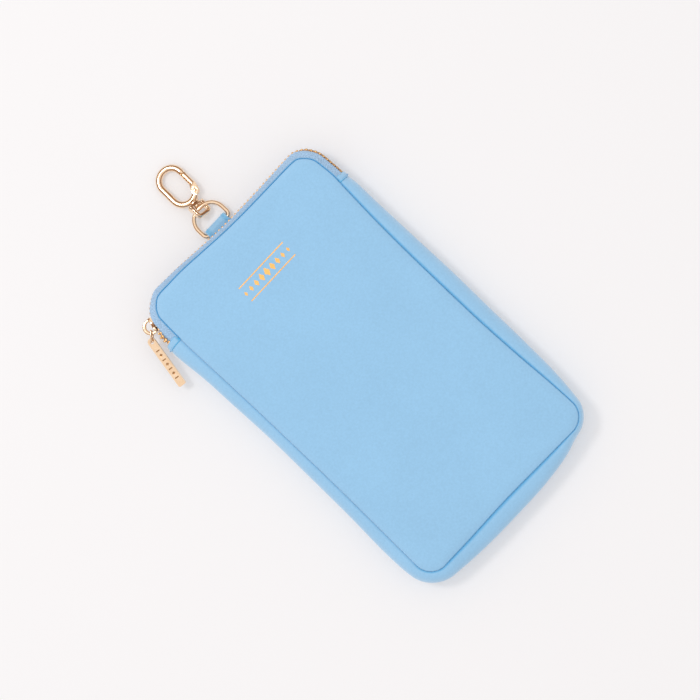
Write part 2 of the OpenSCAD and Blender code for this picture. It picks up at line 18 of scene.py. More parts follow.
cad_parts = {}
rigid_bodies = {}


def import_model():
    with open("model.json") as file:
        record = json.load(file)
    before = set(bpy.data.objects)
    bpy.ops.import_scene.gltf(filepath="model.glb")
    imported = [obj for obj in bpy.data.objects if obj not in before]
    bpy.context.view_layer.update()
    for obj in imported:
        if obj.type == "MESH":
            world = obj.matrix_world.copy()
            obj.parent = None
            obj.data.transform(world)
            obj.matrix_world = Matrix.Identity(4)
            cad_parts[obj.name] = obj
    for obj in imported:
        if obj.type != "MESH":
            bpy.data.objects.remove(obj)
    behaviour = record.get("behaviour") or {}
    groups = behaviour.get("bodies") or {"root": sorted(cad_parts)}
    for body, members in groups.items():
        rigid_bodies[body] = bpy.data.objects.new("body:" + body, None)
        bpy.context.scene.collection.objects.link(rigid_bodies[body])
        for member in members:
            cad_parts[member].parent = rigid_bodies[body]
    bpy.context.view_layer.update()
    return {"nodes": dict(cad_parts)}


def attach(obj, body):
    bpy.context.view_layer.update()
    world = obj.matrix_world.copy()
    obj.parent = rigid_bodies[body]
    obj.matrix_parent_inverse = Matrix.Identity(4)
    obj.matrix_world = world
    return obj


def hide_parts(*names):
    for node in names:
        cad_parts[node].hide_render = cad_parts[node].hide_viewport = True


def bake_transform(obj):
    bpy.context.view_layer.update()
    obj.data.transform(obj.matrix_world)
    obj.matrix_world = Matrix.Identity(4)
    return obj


LOG = logging.getLogger("pouch")
MM = 0.001
# Scale of the fine hair on cloth, and pitch in metres of the threads that run along a zip tape
FUZZ_SCALE = 1600.0
WARP_THREAD = 0.0003
Points = np.ndarray
Faces = list[tuple[int, ...]]
Colour = tuple[float, float, float]
Keys = tuple[tuple[float, float], ...]


class Body(Enum):
    """Bodies of the frame that the pieces ride on."""

    POUCH = "pouch"
    MOUTH = "mouth"
    SLIDER = "slider"
    LINK = "link"
    BAR = "bar"
    RING = "ring"
    EYE = "eye"
    CLIP = "clip"
    GATE = "gate"


class Side(Enum):
    """The two faces of the pouch, as the sense in which depth runs."""

    FRONT = 1
    BACK = -1


class Graph:
    """A shorthand for building one node tree."""

    def __init__(self, tree: bpy.types.NodeTree) -> None:
        """Keeps the tree.

        Args:
            tree: The node tree to build in.
        """
        self.tree = tree

    def add(self, kind: str, inputs: dict | None = None, **settings: object) -> bpy.types.Node:
        """Adds a node, sets its properties, and sets or links its inputs.

        Args:
            kind: The node's type name.
            inputs: Values or output sockets by input name or index.
            **settings: Properties of the node.

        Returns:
            The new node.
        """
        node = self.tree.nodes.new(kind)
        for key, value in settings.items():
            setattr(node, key, value)
        for key, value in (inputs or {}).items():
            socket = node.inputs[key]
            if isinstance(value, bpy.types.NodeSocket):
                self.tree.links.new(value, socket)
            else:
                socket.default_value = value
        return node

    def math(self, operation: str, a: object, b: object = 0.0, c: object = 0.0) -> bpy.types.NodeSocket:
        """Adds a Math node and gives its output socket."""
        return self.add("ShaderNodeMath", {0: a, 1: b, 2: c}, operation=operation).outputs[0]

    def mix(self, share: object, a: object, b: object) -> bpy.types.NodeSocket:
        """Mixes two colours by a share.

        Args:
            share: Share of the second colour, a value or a socket.
            a: The first colour.
            b: The second colour.

        Returns:
            The mixed colour's socket.
        """
        node = self.add("ShaderNodeMix", data_type="RGBA")
        for index, value in ((0, share), (6, a), (7, b)):
            if isinstance(value, bpy.types.NodeSocket):
                self.tree.links.new(value, node.inputs[index])
            else:
                node.inputs[index].default_value = value
        return node.outputs[2]


def shader_group(
    name: str, inputs: dict[str, float], outputs: Sequence[str],
) -> tuple[Graph, bpy.types.Node, bpy.types.Node]:
    """Makes an empty shader group with named sockets; the first input is always a Vector.

    Args:
        name: The group's name.
        inputs: Float inputs with their defaults.
        outputs: Names of the float outputs.

    Returns:
        The graph, the group's input node and its output node.
    """
    tree = bpy.data.node_groups.new(name, "ShaderNodeTree")
    tree.interface.new_socket(name="Vector", in_out="INPUT", socket_type="NodeSocketVector")
    for label, value in inputs.items():
        socket = tree.interface.new_socket(name=label, in_out="INPUT", socket_type="NodeSocketFloat")
        socket.default_value = value
    for label in outputs:
        tree.interface.new_socket(name=label, in_out="OUTPUT", socket_type="NodeSocketFloat")
    graph = Graph(tree)
    return graph, graph.add("NodeGroupInput"), graph.add("NodeGroupOutput")


def weave_group() -> bpy.types.NodeTree:
    """Plain weave: warp and weft threads that pass over and under each other.

    Returns:
        The group, with outputs Height and Shade.
    """
    graph, given, out = shader_group("plain_weave", {"Threads": 2200.0, "Fuzz": 0.3}, ["Height", "Shade"])
    at = given.outputs["Vector"]
    split = graph.add("ShaderNodeSeparateXYZ", {0: at})
    turns = graph.math("MULTIPLY", given.outputs["Threads"], math.pi)
    along = graph.math("SINE", graph.math("MULTIPLY", split.outputs[0], turns))
    across = graph.math("SINE", graph.math("MULTIPLY", split.outputs[1], turns))
    over = graph.math("MULTIPLY", along, across)
    fuzz = graph.add("ShaderNodeTexNoise", {"Vector": at, "Scale": FUZZ_SCALE, "Detail": 2.0})
    rough = graph.math("MULTIPLY", graph.math("SUBTRACT", fuzz.outputs[0], 0.5), given.outputs["Fuzz"])
    height = graph.math("ADD", graph.math("MULTIPLY_ADD", over, 0.35, 0.5), rough)
    graph.tree.links.new(height, out.inputs["Height"])
    graph.tree.links.new(graph.math("MULTIPLY_ADD", height, 0.5, 0.5), out.inputs["Shade"])
    return graph.tree


def rib_group() -> bpy.types.NodeTree:
    """Herringbone ribs of a zip tape, from path length and width on the UV map.

    Returns:
        The group, with outputs Height and Shade.
    """
    inputs = {"Pitch": 0.0011, "Slant": 0.9, "Column": 0.0016}
    graph, given, out = shader_group("herringbone", inputs, ["Height", "Shade"])
    split = graph.add("ShaderNodeSeparateXYZ", {0: given.outputs["Vector"]})
    fold = graph.math("PINGPONG", split.outputs[1], given.outputs["Column"])
    skew = graph.math("MULTIPLY_ADD", fold, given.outputs["Slant"], split.outputs[0])
    phase = graph.math("MULTIPLY", graph.math("DIVIDE", skew, given.outputs["Pitch"]), 2 * math.pi)
    rib = graph.math("MULTIPLY_ADD", graph.math("SINE", phase), 0.5, 0.5)
    thread = graph.math("SINE", graph.math("MULTIPLY", split.outputs[1], 2 * math.pi / WARP_THREAD))
    height = graph.math("MULTIPLY_ADD", thread, 0.12, rib)
    graph.tree.links.new(height, out.inputs["Height"])
    graph.tree.links.new(rib, out.inputs["Shade"])
    return graph.tree


def mottle_group() -> bpy.types.NodeTree:
    """Slow and fast unevenness, as dye and wear leave on cloth or metal.

    Returns:
        The group, with outputs Broad and Fine.
    """
    graph, given, out = shader_group("mottle", {"Broad scale": 40.0, "Fine scale": 900.0}, ["Broad", "Fine"])
    at = given.outputs["Vector"]
    for label in ("Broad", "Fine"):
        scale = given.outputs[label + " scale"]
        noise = graph.add(
            "ShaderNodeTexNoise", {"Vector": at, "Scale": scale, "Detail": 3.0, "Roughness": 0.55},
        )
        graph.tree.links.new(noise.outputs[0], out.inputs[label])
    return graph.tree


class Surface(Enum):
    """Which pattern a cloth finish carries."""

    WEAVE = "plain_weave"
    RIBS = "herringbone"


def new_material(name: str) -> tuple[bpy.types.Material, Graph, bpy.types.Node, bpy.types.Node]:
    """Makes a new material with the mottle group on its Object coordinates.

    Args:
        name: The material's name.

    Returns:
        The material, its graph, its Principled node and its mottle node.
    """
    made = bpy.data.materials.new(name)
    made.use_nodes = True
    graph = Graph(made.node_tree)
    place = graph.add("ShaderNodeTexCoord").outputs["Object"]
    mottle = graph.add("ShaderNodeGroup", {"Vector": place}, node_tree=bpy.data.node_groups["mottle"])
    return made, graph, made.node_tree.nodes["Principled BSDF"], mottle


@dataclass(frozen=True)
class Cloth:
    """A cloth finish.

    The painted crease shade colour shows where a piece's seam attribute rises to 1, as shade in the creases
    along seams and hems.
    """

    name: str
    colour: Colour
    crease_shade_colour: Colour
    surface: Surface = Surface.WEAVE
    pattern: tuple[float, float, float] = (2200.0, 0.3, 0.0)
    contrast: float = 0.06
    depth: float = 0.00006
    roughness: float = 0.78
    sheen: float = 0.25

    def material(self) -> bpy.types.Material:
        """Builds the material, or gives it if it is there already.

        Returns:
            The material.
        """
        known = bpy.data.materials.get(self.name)
        if known:
            return known
        made, graph, shader, mottle = new_material(self.name)
        flat = graph.add("ShaderNodeUVMap", uv_map="UVMap").outputs[0]
        pattern = graph.add("ShaderNodeGroup", node_tree=bpy.data.node_groups[self.surface.value])
        graph.tree.links.new(flat, pattern.inputs[0])
        for index, value in zip(range(1, len(pattern.inputs)), self.pattern):
            pattern.inputs[index].default_value = value
        dark = (*[c * (1 - 4 * self.contrast) for c in self.colour], 1.0)
        light = (*[min(1.0, c * (1 + self.contrast)) for c in self.colour], 1.0)
        grain = graph.math("MULTIPLY_ADD", mottle.outputs["Fine"], 0.7, -0.12)
        broad = graph.math("MULTIPLY_ADD", mottle.outputs["Broad"], 0.35, grain)
        share = graph.math("MULTIPLY_ADD", pattern.outputs["Shade"], 0.5, broad)
        cloth = graph.mix(share, dark, light)
        # Painted shade: the seam attribute mixes in the darker crease colour along seams and hems.
        seam = graph.add("ShaderNodeAttribute", attribute_name="seam").outputs["Fac"]
        colour = graph.mix(seam, cloth, (*self.crease_shade_colour, 1.0))
        fine = graph.math("MULTIPLY_ADD", mottle.outputs["Fine"], 0.25, pattern.outputs["Height"])
        bump = graph.add("ShaderNodeBump", {"Height": fine, "Distance": self.depth, "Strength": 0.8})
        rough = graph.math("MULTIPLY_ADD", mottle.outputs["Fine"], 0.12, self.roughness - 0.06)
        graph.tree.links.new(colour, shader.inputs["Base Color"])
        graph.tree.links.new(rough, shader.inputs["Roughness"])
        graph.tree.links.new(bump.outputs[0], shader.inputs["Normal"])
        shader.inputs["Sheen Weight"].default_value = self.sheen
        shader.inputs["Sheen Roughness"].default_value = 0.5
        shader.inputs["Specular IOR Level"].default_value = 0.25
        return made


@dataclass(frozen=True)
class Metal:
    """A plated metal finish with fine rub marks.

    It takes a painted shade, darker towards black, where a piece's seam attribute rises to 1, as on the floor
    of a recess.
    """

    name: str
    colour: Colour
    low_colour: Colour
    roughness: float = 0.16
    depth: float = 0.00001

    def material(self) -> bpy.types.Material:
        """Builds the material, or gives it if it is there already.

        Returns:
            The material.
        """
        known = bpy.data.materials.get(self.name)
        if known:
            return known
        made, graph, shader, mottle = new_material(self.name)
        mottle.inputs["Broad scale"].default_value = 260.0
        mottle.inputs["Fine scale"].default_value = 3200.0
        share = graph.math("MULTIPLY_ADD", mottle.outputs["Broad"], 1.6, -0.3)
        plate = graph.mix(share, (*self.low_colour, 1.0), (*self.colour, 1.0))
        # Painted shade: recess floors take the low colour squared and halved.
        pit = graph.add("ShaderNodeAttribute", attribute_name="seam").outputs["Fac"]
        colour = graph.mix(pit, plate, (*[c * c * 0.5 for c in self.low_colour], 1.0))
        rough = graph.math("MULTIPLY_ADD", mottle.outputs["Fine"], 0.10, self.roughness - 0.05)
        bump = graph.add(
            "ShaderNodeBump", {"Height": mottle.outputs["Fine"], "Distance": self.depth, "Strength": 0.5},
        )
        graph.tree.links.new(colour, shader.inputs["Base Color"])
        graph.tree.links.new(rough, shader.inputs["Roughness"])
        graph.tree.links.new(bump.outputs[0], shader.inputs["Normal"])
        shader.inputs["Metallic"].default_value = 1.0
        return made


@dataclass(frozen=True)
class Finishes:
    """Every finish of the pouch."""

    # The second colour of each cloth is its painted crease shade colour.
    shell: Cloth = Cloth(
        "shell_cloth", (0.325, 0.590, 0.848), (0.012, 0.430, 0.780), contrast=0.05, sheen=0.6,
    )
    tape: Cloth = Cloth(
        "zip_tape_cloth", (0.445, 0.668, 0.975), (0.012, 0.400, 0.780), Surface.RIBS, (0.0012, 0.9, 0.0015),
        contrast=0.08, depth=0.00030, roughness=0.72, sheen=0.2,
    )
    lining: Cloth = Cloth(
        "lining_cloth", (0.560, 0.680, 0.800), (0.330, 0.450, 0.580),
        pattern=(3600.0, 0.2, 0.0), roughness=0.6,
    )
    binding: Cloth = Cloth(
        "binding_cloth", (0.420, 0.560, 0.740), (0.240, 0.360, 0.540), Surface.RIBS, (0.0010, 0.0, 0.004),
    )
    foam: Cloth = Cloth(
        "foam_core", (0.840, 0.820, 0.760), (0.700, 0.680, 0.620), pattern=(900.0, 1.2, 0.0), roughness=0.9,
    )
    thread: Cloth = Cloth(
        "sewing_thread", (0.230, 0.470, 0.760), (0.180, 0.380, 0.640),
        pattern=(5200.0, 0.1, 0.0), roughness=0.5,
    )
    gold: Metal = Metal("pale_gold", (0.990, 0.825, 0.650), (0.935, 0.710, 0.500), 0.13)
    teeth: Metal = Metal("zip_brass", (0.720, 0.440, 0.200), (0.500, 0.290, 0.120), 0.32)
    foil: Metal = Metal("gold_foil", (0.690, 0.400, 0.140), (0.600, 0.340, 0.110), 0.42, 0.00003)
    steel: Metal = Metal("spring_steel", (0.620, 0.620, 0.640), (0.480, 0.480, 0.500), 0.22)


def ease(value: Points | float) -> Points:
    """Smooth step from 0 to 1."""
    t = np.clip(value, 0.0, 1.0)
    return t * t * (3 - 2 * t)


def through(keys: Sequence[tuple[float, float]], at: Points) -> Points:
    """Smooth curve through key points.

    Args:
        keys: Pairs of place and value, with rising places.
        at: Places to read.

    Returns:
        The value at each place, held level past the ends.
    """
    xs, ys = np.array(keys, float).T
    slope = np.gradient(ys, xs)
    at = np.clip(at, xs[0], xs[-1])
    i = np.clip(np.searchsorted(xs, at, side="right") - 1, 0, len(xs) - 2)
    h = xs[i + 1] - xs[i]
    t = (at - xs[i]) / h
    a, b = ys[i], ys[i + 1]
    return (
        a * (1 + 2 * t) * (1 - t) ** 2 + slope[i] * h * t * (1 - t) ** 2
        + b * t * t * (3 - 2 * t) + slope[i + 1] * h * t * t * (t - 1)
    )


def mesh_piece(
    name: str, points: Points, faces: Faces, finish: Cloth | Metal, uv: Points | None = None,
    seam: Points | None = None, sharp: float | None = 40.0,
) -> bpy.types.Object:
    """Makes one closed piece from points in millimetres.

    Args:
        name: The object's name.
        points: One row of X, Y and Z for each vertex.
        faces: Vertex numbers of each face.
        finish: Its finish.
        uv: Flat place of each vertex in metres, if a pattern follows the surface.
        seam: How much painted shade each vertex shows, in a crease along a seam or on the floor of a recess.
        sharp: Angle in degrees past which an edge stays hard, or None for all smooth.

    Returns:
        The object, with its place in its mesh and its faces outwards.
    """
    mesh = bpy.data.meshes.new(name)
    mesh.from_pydata((np.asarray(points, float) * MM).tolist(), [], faces)
    work = bmesh.new()
    work.from_mesh(mesh)
    bmesh.ops.recalc_face_normals(work, faces=work.faces)
    work.to_mesh(mesh)
    work.free()
    if uv is None:
        uv = np.asarray(points)[:, :2] * MM
    corner = np.zeros(len(mesh.loops), np.int32)
    mesh.loops.foreach_get("vertex_index", corner)
    layer = mesh.uv_layers.new(name="UVMap")
    layer.data.foreach_set("uv", np.asarray(uv, np.float32)[corner].ravel())
    mark = mesh.attributes.new("seam", "FLOAT", "POINT")
    share = np.zeros(len(points)) if seam is None else seam
    mark.data.foreach_set("value", np.asarray(share, np.float32))
    mesh.shade_smooth()
    if sharp is not None:
        mesh.set_sharp_from_angle(angle=math.radians(sharp))
    mesh.materials.append(finish.material())
    made = bpy.data.objects.new(name, mesh)
    bpy.context.scene.collection.objects.link(made)
    return made


def baked(piece: bpy.types.Object) -> bpy.types.Object:
    """Applies a piece's modifiers by taking its evaluated mesh.

    Args:
        piece: The piece with its modifiers.

    Returns:
        The same piece with a plain mesh.
    """
    bpy.context.view_layer.update()
    graph = bpy.context.evaluated_depsgraph_get()
    mesh = bpy.data.meshes.new_from_object(piece.evaluated_get(graph), depsgraph=graph)
    piece.modifiers.clear()
    mesh.name = piece.name
    piece.data = mesh
    return piece


def softened(
    piece: bpy.types.Object, width: float, segments: int = 2, angle: float = 35.0, sharp: float = 50.0,
) -> bpy.types.Object:
    """Rounds a piece's hard edges.

    Args:
        piece: The piece.
        width: Width of the rounding in millimetres.
        segments: Faces across the rounding.
        angle: Smallest edge angle that is rounded, in degrees.
        sharp: Angle in degrees past which an edge then stays hard.

    Returns:
        The piece with a plain mesh.
    """
    bevel = piece.modifiers.new("rounding", "BEVEL")
    bevel.width, bevel.segments = width * MM, segments
    bevel.limit_method, bevel.angle_limit = "ANGLE", math.radians(angle)
    bevel.use_clamp_overlap = True
    baked(piece)
    piece.data.shade_smooth()
    piece.data.set_sharp_from_angle(angle=math.radians(sharp))
    return piece


def sweep(rows: Points, loop: bool = False, caps: bool = True) -> tuple[Points, Faces]:
    """Joins closed cross-sections one after another.

    Args:
        rows: Sections by points by three, in millimetres.
        loop: Whether the last section joins the first.
        caps: Whether the two ends are filled, when they aren't joined.

    Returns:
        Vertices and faces.
    """
    count, size = rows.shape[:2]
    faces: Faces = []
    for i in range(count if loop else count - 1):
        a, b = i * size, (i + 1) % count * size
        faces += [(a + j, a + (j + 1) % size, b + (j + 1) % size, b + j) for j in range(size)]
    if caps and not loop:
        faces += [tuple(range(size)), tuple((count - 1) * size + j for j in reversed(range(size)))]
    return rows.reshape(-1, 3), faces


def joined(parts: Sequence[tuple[Points, Faces]]) -> tuple[Points, Faces]:
    """Puts several vertex and face lists into one.

    Args:
        parts: Vertices and faces of each part.

    Returns:
        Vertices and faces of them all.
    """
    points, faces, start = [], [], 0
    for p, f in parts:
        points.append(np.asarray(p, float))
        faces += [tuple(start + k for k in face) for face in f]
        start += len(p)
    return np.vstack(points), faces


def tube(
    path: Points, radius: float, sides: int = 28, loop: bool = False, up: Sequence[float] = (0, 0, 1),
    square: float = 1.0, tall: float = 1.0,
) -> tuple[Points, Faces]:
    """Wire along a path, round unless it is told otherwise.

    Args:
        path: Centre line, in millimetres.
        radius: The wire's radius.
        sides: Points round the wire.
        loop: Whether the path closes.
        up: A direction that the path never runs along.
        square: Power of the section's sine and cosine, 1 for round and less for squarer.
        tall: Height of the section along up, as a share of its width.

    Returns:
        Vertices and faces.
    """
    path = np.asarray(path, float)
    if loop:
        step = np.roll(path, -1, 0) - np.roll(path, 1, 0)
    else:
        step = np.gradient(path, axis=0)
    step /= np.linalg.norm(step, axis=1)[:, None]
    side = np.cross(step, np.array(up, float))
    side /= np.linalg.norm(side, axis=1)[:, None]
    top = np.cross(side, step)
    turn = np.linspace(0, 2 * math.pi, sides, endpoint=False)
    wide, high = (np.sign(v) * np.abs(v) ** square for v in (np.cos(turn), np.sin(turn)))
    spread = wide[None, :, None] * side[:, None] + tall * high[None, :, None] * top[:, None]
    return sweep(path[:, None] + radius * spread, loop)


def arc(centre: Sequence[float], r: float, start: float, end: float, steps: int = 12) -> Points:
    """Points in the XY plane along part of a circle, angles in degrees."""
    a = np.radians(np.linspace(start, end, steps))
    return np.stack([centre[0] + r * np.cos(a), centre[1] + r * np.sin(a), 0 * a], 1)


def lathe(profile: Sequence[tuple[float, float]], sides: int = 40) -> tuple[Points, Faces]:
    """Turns a profile about the Y axis, filled at both ends.

    Args:
        profile: Pairs of distance along Y and radius.
        sides: Points round the axis.

    Returns:
        Vertices and faces.
    """
    a = np.linspace(0, 2 * math.pi, sides, endpoint=False)
    rows = np.array([[[r * math.sin(t), y, r * math.cos(t)] for t in a] for y, r in profile])
    return sweep(rows)


def slab(
    outline: Points, low: float, high: float, holes: Sequence[Points] = (), pits: Sequence[Points] = (),
    pit_depth: float = 0.0,
) -> tuple[Points, Faces]:
    """Flat plate with holes right through and shallow recesses in its upper face.

    Args:
        outline: The plate's outline in XY.
        low: Height of the lower face.
        high: Height of the upper face.
        holes: Outlines of the holes.
        pits: Outlines of the recesses.
        pit_depth: How deep the recesses are.

    Returns:
        Vertices and faces.
    """
    points: list[tuple[float, float, float]] = []
    faces: Faces = []

    def level(rings: Sequence[Points], z: float) -> list[list[int]]:
        """Adds rings of points at one height.

        Args:
            rings: The rings.
            z: Their height.

        Returns:
            The numbers of each ring's points.
        """
        numbers = []
        for ring in rings:
            numbers.append(list(range(len(points), len(points) + len(ring))))
            points.extend((float(p[0]), float(p[1]), z) for p in ring)
        return numbers

    def fill(numbers: list[list[int]]) -> None:
        """Fills between the first ring and the rest.

        Args:
            numbers: The numbers of each ring's points.
        """
        flat = [k for ring in numbers for k in ring]
        for face in tessellate_polygon([[Vector(points[k]) for k in ring] for ring in numbers]):
            faces.append(tuple(flat[k] for k in face))

    def wall(a: list[int], b: list[int]) -> None:
        """Joins two rings of the same length."""
        faces.extend((a[j], a[(j + 1) % len(a)], b[(j + 1) % len(a)], b[j]) for j in range(len(a)))

    upper = level([outline, *holes, *pits], high)
    lower = level([outline, *holes], low)
    fill(upper)
    fill(lower)
    for k in range(1 + len(holes)):
        wall(upper[k], lower[k])
    for k, floor in enumerate(level(pits, high - pit_depth)):
        wall(upper[1 + len(holes) + k], floor)
        fill([floor])
    return np.array(points), faces


def placed(part: tuple[Points, Faces], where: Matrix) -> tuple[Points, Faces]:
    """Moves vertices by a matrix in millimetres."""
    m = np.array(where)
    return np.asarray(part[0]) @ m[:3, :3].T + m[:3, 3], part[1]


def turned(axis: str, degrees: float) -> Matrix:
    """Rotation about one axis."""
    return Matrix.Rotation(math.radians(degrees), 4, axis)


def moved(x: float, y: float, z: float) -> Matrix:
    """Translation in millimetres."""
    return Matrix.Translation((x, y, z))


class RowTree:
    """A tree that sets one small piece again and again along a path, with a stretch pushed aside."""

    def __init__(self) -> None:
        """Builds the tree with its named inputs."""
        tree = bpy.data.node_groups.new("row_along_path", "GeometryNodeTree")
        tree.interface.new_socket(name="Path", in_out="INPUT", socket_type="NodeSocketGeometry")
        kinds = {
            "Piece": "NodeSocketObject", "Count": "NodeSocketInt", "Parted to": "NodeSocketFloat",
            "Parting run": "NodeSocketFloat", "Parting": "NodeSocketFloat", "Finish": "NodeSocketMaterial",
        }
        self.ids: dict[str, str] = {}
        for label, kind in kinds.items():
            socket = tree.interface.new_socket(name=label, in_out="INPUT", socket_type=kind)
            self.ids[label] = socket.identifier
        tree.interface.new_socket(name="Row", in_out="OUTPUT", socket_type="NodeSocketGeometry")
        graph = Graph(tree)
        given, out = graph.add("NodeGroupInput"), graph.add("NodeGroupOutput")
        curve = graph.add("GeometryNodeMeshToCurve", {0: given.outputs["Path"]})
        places = graph.add(
            "GeometryNodeResampleCurve",
            {"Curve": curve.outputs[0], "Count": given.outputs["Count"]}, mode="COUNT",
        )
        tangent = graph.add("GeometryNodeInputTangent").outputs[0]
        facing = graph.add("FunctionNodeAlignRotationToVector", {"Vector": tangent}, axis="Y", pivot_axis="Z")
        along = graph.add("GeometryNodeSplineParameter").outputs["Length"]
        last = given.outputs["Parted to"]
        first = graph.math("SUBTRACT", last, given.outputs["Parting run"])
        share = graph.add(
            "ShaderNodeMapRange",
            {"Value": along, "From Min": first, "From Max": last, "To Min": 1.0, "To Max": 0.0},
            interpolation_type="SMOOTHSTEP",
        )
        aside = graph.math("MULTIPLY", share.outputs[0], given.outputs["Parting"])
        lift = graph.add("ShaderNodeCombineXYZ", {2: aside}).outputs[0]
        pushed = graph.add("GeometryNodeSetPosition", {"Geometry": places.outputs[0], "Offset": lift})
        shape = graph.add("GeometryNodeObjectInfo", {"Object": given.outputs["Piece"]})
        row = graph.add("GeometryNodeInstanceOnPoints", {
            "Points": pushed.outputs[0], "Instance": shape.outputs["Geometry"],
            "Rotation": facing.outputs[0],
        })
        real = graph.add("GeometryNodeRealizeInstances", {0: row.outputs[0]}).outputs[0]
        dressed = graph.add(
            "GeometryNodeSetMaterial", {"Geometry": real, "Material": given.outputs["Finish"]},
        )
        tree.links.new(dressed.outputs[0], out.inputs[0])
        self.tree = tree

    def row(
        self, name: str, path: Points, piece: tuple[Points, Faces], count: int, finish: Cloth | Metal,
        parted_to: float = 0.0, parting_run: float = 1.0, parting: float = 0.0,
    ) -> bpy.types.Object:
        """Lays one row.

        Args:
            name: The finished piece's name.
            path: The path in millimetres; the first and last pieces stand on its ends.
            piece: Vertices and faces of the repeated piece, with its Y along the path.
            count: How many pieces.
            finish: Their finish.
            parted_to: Path length up to which the row is pushed aside, in millimetres.
            parting_run: Length over which the push fades out.
            parting: How far it is pushed along Z.

        Returns:
            The row as a plain mesh.
        """
        sample = mesh_piece(name + "_sample", piece[0], piece[1], finish)
        mesh = bpy.data.meshes.new(name)
        mesh.from_pydata((np.asarray(path) * MM).tolist(), [(i, i + 1) for i in range(len(path) - 1)], [])
        made = bpy.data.objects.new(name, mesh)
        bpy.context.scene.collection.objects.link(made)
        nodes = made.modifiers.new("row", "NODES")
        nodes.node_group = self.tree
        values = {
            "Piece": sample, "Count": count, "Parted to": parted_to * MM, "Parting run": parting_run * MM,
            "Parting": parting * MM, "Finish": finish.material(),
        }
        for label, value in values.items():
            nodes[self.ids[label]] = value
        baked(made)
        bpy.data.objects.remove(sample)
        return made


@dataclass(frozen=True)
class Sizes:
    """Sizes that all the pieces share with the frame, in millimetres and degrees."""

    width: float = 107.0
    height: float = 188.0
    depth: float = 18.0
    crown: float = 1.8
    crown_width: float = 5.0
    top_radius: float = 6.6
    bottom_radius: float = 9.6
    shell: float = 0.8
    foam: float = 1.8
    side_foam: float = 1.2
    lining: float = 0.4
    binding_from: float = 0.4
    binding_width: float = 3.6
    binding: float = 1.2
    fold_y: float = 75.0
    tab_length: float = 3.6
    tab_thickness: float = 1.2
    tab_push: float = 2.0
    chain_out: float = 4.2
    tape: float = 0.6
    tooth_pitch: float = 2.2
    tooth_length: float = 3.3
    tooth_thickness: float = 2.2
    tooth_width: float = 1.0
    tooth_reach: float = 0.7
    tape_grip: float = 1.4
    row_part: float = 1.5
    tape_gap: float = 0.2
    parting_run: float = 4.0
    part_lead: float = 2.2
    slider_turn: float = 10.0
    slider_inset: float = 0.38
    row_flare: float = 2.2
    flare_fade: float = 3.0
    flare_stop: float = 5.2
    tape_upright: float = 5.4

    @property
    def half_width(self) -> float:
        """Half the width between the seams."""
        return self.width / 2

    @property
    def half_height(self) -> float:
        """Half the length between the seams."""
        return self.height / 2

    @property
    def middle(self) -> float:
        """Height of the middle of the thickness."""
        return self.depth / 2

    @property
    def seam_height(self) -> float:
        """Height of the front seam."""
        return self.depth - self.crown

    @property
    def tab_y(self) -> float:
        """Where the end tabs begin."""
        return self.fold_y - self.tab_length

    @property
    def cover_y(self) -> float:
        """Where the cloth of the tabs begins, which the padding has pushed up."""
        return self.tab_y + self.tab_push

    @property
    def chain_radius(self) -> float:
        """Radius of the chain's middle line round a top corner."""
        return self.top_radius + self.chain_out

    @property
    def corner_y(self) -> float:
        """Where the top corners begin."""
        return self.half_height - self.top_radius

    @property
    def chain_side(self) -> float:
        """Length of the chain from its foot to the corner."""
        return self.corner_y - self.fold_y - self.tape_gap

    @property
    def meshed_from(self) -> float:
        """Length along the chain from which the two rows mesh."""
        turn = math.radians(self.slider_turn) + self.part_lead / self.chain_radius
        return self.chain_side + self.chain_radius * turn - self.tooth_width / 2

    def flare(self, length: float | Points) -> float | Points:
        """How far the open rows turn outwards between the left tab and the slider."""
        left = self.meshed_from - self.flare_stop - length
        return self.row_flare * ease(length / self.flare_fade) * ease(left / self.flare_fade)

    def parting(self, seam_length: float) -> float:
        """How far a row stands off its meshed place.

        Args:
            seam_length: Length along the seam from the left foot.

        Returns:
            The distance in millimetres.
        """
        past = seam_length - self.chain_side
        chain = seam_length if past < 0 else self.chain_side + past * self.chain_radius / self.top_radius
        return self.row_part * float(ease((self.meshed_from - chain) / self.parting_run))


